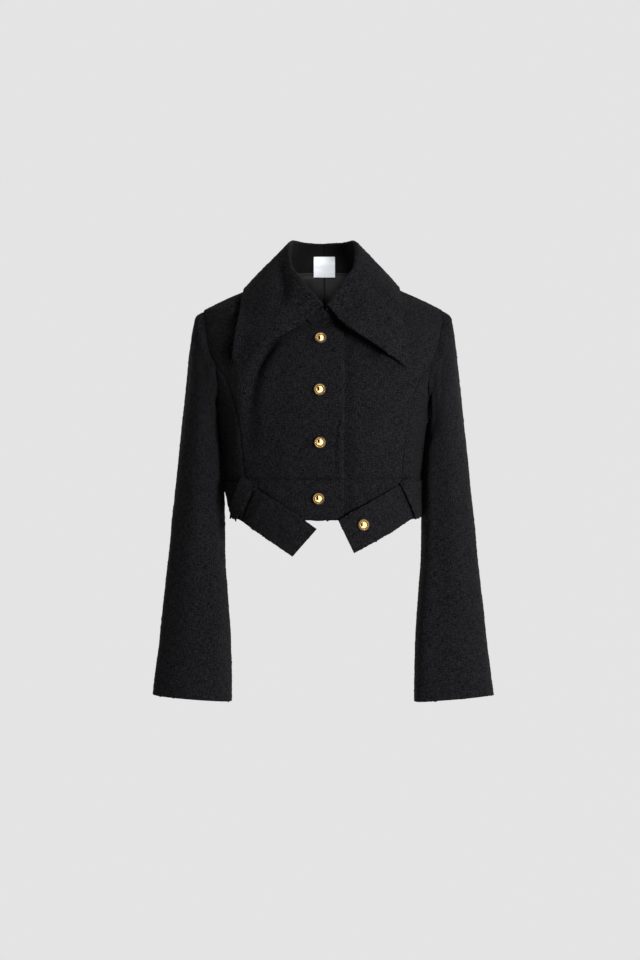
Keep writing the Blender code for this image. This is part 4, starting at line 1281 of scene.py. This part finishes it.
def place_button(name, point, normal, mesh):
    button = add(name, mesh)
    button.location = (point + normal * SEAM) * MM
    button.rotation_euler = Vector(normal).to_track_quat("Z", "Y").to_euler()
    bpy.context.view_layer.update()
    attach(button, "root")
    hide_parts(name)


button_mesh = make_button_mesh(make_gold())
for number, (x, height) in enumerate(BUTTON_AT, start=1):
    place_button(f"button_{number}", *cloth(turn_at(x, height), height), button_mesh)
belt_middle = belt_strip(BELT_BUTTON_TURN + np.linspace(-1, 1, 3), 2)
belt_button_at = belt_middle[1, 1] + np.array(BELT_BUTTON_SHIFT)
place_button("belt_button", belt_button_at, grid_normals(belt_middle)[1, 1], button_mesh)


# Buttonholes
# Each is a slit along the cloth, worked round with black silk purl. Its far end shows beside the button.

SLIT_START, SLIT_END = 21, 1  # from a button's middle, towards the wearer's right
BELT_SLIT_TURNS = 332.0, 339.5
SLIT_STEPS = 41
SLIT_HALF_WIDTH = 1.1


def make_buttonhole(name, path, normals):
    """A ring of purl stitches round a slit, from the line of the slit and the cloth's normals along it."""
    along = unit(np.gradient(path, axis=0))
    across = np.cross(normals, along)
    loop = np.concatenate([path + across * SLIT_HALF_WIDTH, path[::-1] - across[::-1] * SLIT_HALF_WIDTH])
    up = np.concatenate([normals, normals[::-1]])
    ahead = unit(np.roll(loop, -1, axis=0) - np.roll(loop, 1, axis=0))
    side = np.cross(up, ahead)
    tube = np.linspace(0, 2 * np.pi, 8)[:, None, None]
    stitch = 0.55 + 0.22 * np.abs(np.sin(np.arange(len(loop)) * np.pi / 2))[None, :, None]
    rings = loop + (side * np.cos(tube) + up * np.sin(tube)) * stitch + up * 0.35
    mesh = bpy.data.meshes.new(name)
    mesh.from_pydata((rings.reshape(-1, 3) * MM).tolist(), [], turned_faces(0, 8, len(loop)))
    mesh.materials.append(silk)
    mesh.shade_smooth()
    hole = add(name, mesh)
    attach(hole, "root")


silk, silk_start, silk_grain, silk_paint = new_material("black silk twist", 0.7, specular=0.12)
silk_paint("Base Color", silk_start.noise(silk_grain, (0.3, 0.3)).mix((0.002, 0.002, 0.002, 1),
                                                                      (0.007, 0.007, 0.008, 1)))
for number, (x, height) in enumerate(BUTTON_AT, start=1):
    slit_x = np.linspace(x - SLIT_START, x - SLIT_END, SLIT_STEPS)
    point, normal = cloth(turn_at(slit_x, height), np.full(slit_x.shape, float(height)), -0.1)
    make_buttonhole(f"buttonhole_{number}", point, normal)
belt_line = belt_strip(np.linspace(*BELT_SLIT_TURNS, SLIT_STEPS), 2)
make_buttonhole("belt_buttonhole", belt_line[1], grid_normals(belt_line)[1])


# Studio
# A pale seamless floor and background. A soft light stands three metres off to the right of the camera,
# about level with the jacket, with a weak one above in front and a narrow beam into the neck. The camera
# stands six metres off with a long lens, a little above the jacket's middle. All in metres.

PALE = 0.775
Lamp = namedtuple("Lamp", "name place size power")
LAMPS = [Lamp("key", (1.58, -2.5, -0.2), 0.75, 68), Lamp("top", (0.1, -0.7, 1.15), 0.7, 1.5)]
LAMP_TARGET = (0, 0, -0.3)
BEAM_PLACE, BEAM_TARGET = (0.1, -3.0, 0.5), (0.003, 0.05, 0.002)


def aim(name, light, place, target):
    """A lamp at a place, turned to its target."""
    lamp = add(name, light)
    lamp.location = place
    lamp.rotation_euler = (Vector(target) - Vector(place)).to_track_quat("-Z", "Y").to_euler()


def make_studio():
    scene = bpy.context.scene
    scene.view_settings.view_transform = "Standard"
    world = bpy.data.worlds.new("studio")
    scene.world = world
    world.use_nodes = True
    tree = world.node_tree
    start = Shade(tree)
    seen = start.node("ShaderNodeLightPath", {}, output="Is Camera Ray")
    direction = start.node("ShaderNodeTexCoord", {}, output="Generated")
    across, behind, up = [start.node("ShaderNodeSeparateXYZ", {0: direction}, output=axis) for axis in "XYZ"]
    glow = (behind + across * 0.45).between(-0.9, 0.65).mix((0.10, 0.10, 0.105, 1), (0.75, 0.75, 0.76, 1))
    # What polished metal mirrors: pale all round, but dark on the left of the camera
    mirrored = start.node("ShaderNodeLightPath", {}, output="Is Glossy Ray")
    pale = start.sum("MAXIMUM", abs(across + 0.5).between(0.34, 0.5), behind.between(0.0, 0.3))
    pale = start.sum("MAXIMUM", pale, (0 - up).between(0.35, 0.65))
    glow = mirrored.mix(glow, pale.mix((0.02, 0.02, 0.02, 1), (1.9, 1.86, 1.78, 1)))
    tree.links.new(seen.mix(glow, (PALE, PALE, PALE, 1)).link, tree.nodes["Background"].inputs["Color"])

    bpy.ops.mesh.primitive_circle_add(vertices=96, radius=14, fill_type="NGON", location=(0, 0, -1.35))
    floor = bpy.context.object
    floor.name = "studio_floor"
    floor.visible_diffuse = floor.visible_glossy = False
    paper = bpy.data.materials.new("pale floor")
    paper.use_nodes = True
    shader = paper.node_tree.nodes["Principled BSDF"]
    shader.inputs["Base Color"].default_value = (0, 0, 0, 1)
    shader.inputs["Specular IOR Level"].default_value = 0
    shader.inputs["Emission Color"].default_value = (PALE, PALE, PALE, 1)
    shader.inputs["Emission Strength"].default_value = 1
    paper.cycles.emission_sampling = "NONE"
    floor.data.materials.append(paper)

    for lamp in LAMPS:
        light = bpy.data.lights.new(lamp.name, "AREA")
        light.shape, light.size, light.energy = "DISK", lamp.size, lamp.power
        aim(lamp.name, light, lamp.place, LAMP_TARGET)
    beam = bpy.data.lights.new("beam", "SPOT")
    beam.energy, beam.spot_size, beam.spot_blend, beam.shadow_soft_size = 270, 0.0245, 0.45, 0.012
    aim("beam", beam, BEAM_PLACE, BEAM_TARGET)

    distance, pitch, frame_height = 6.0, np.radians(1.3), 1.584
    target = Vector((-0.005, 0, -0.341))
    camera = add("camera", bpy.data.cameras.new("camera"))
    camera.data.sensor_width = 36
    camera.data.lens = 36 * distance / frame_height
    camera.data.clip_end = 100
    camera.location = target + Vector((0, -np.cos(pitch), np.sin(pitch))) * distance
    camera.rotation_euler = (np.pi / 2 - pitch, 0, 0)
    scene.camera = camera


make_studio()
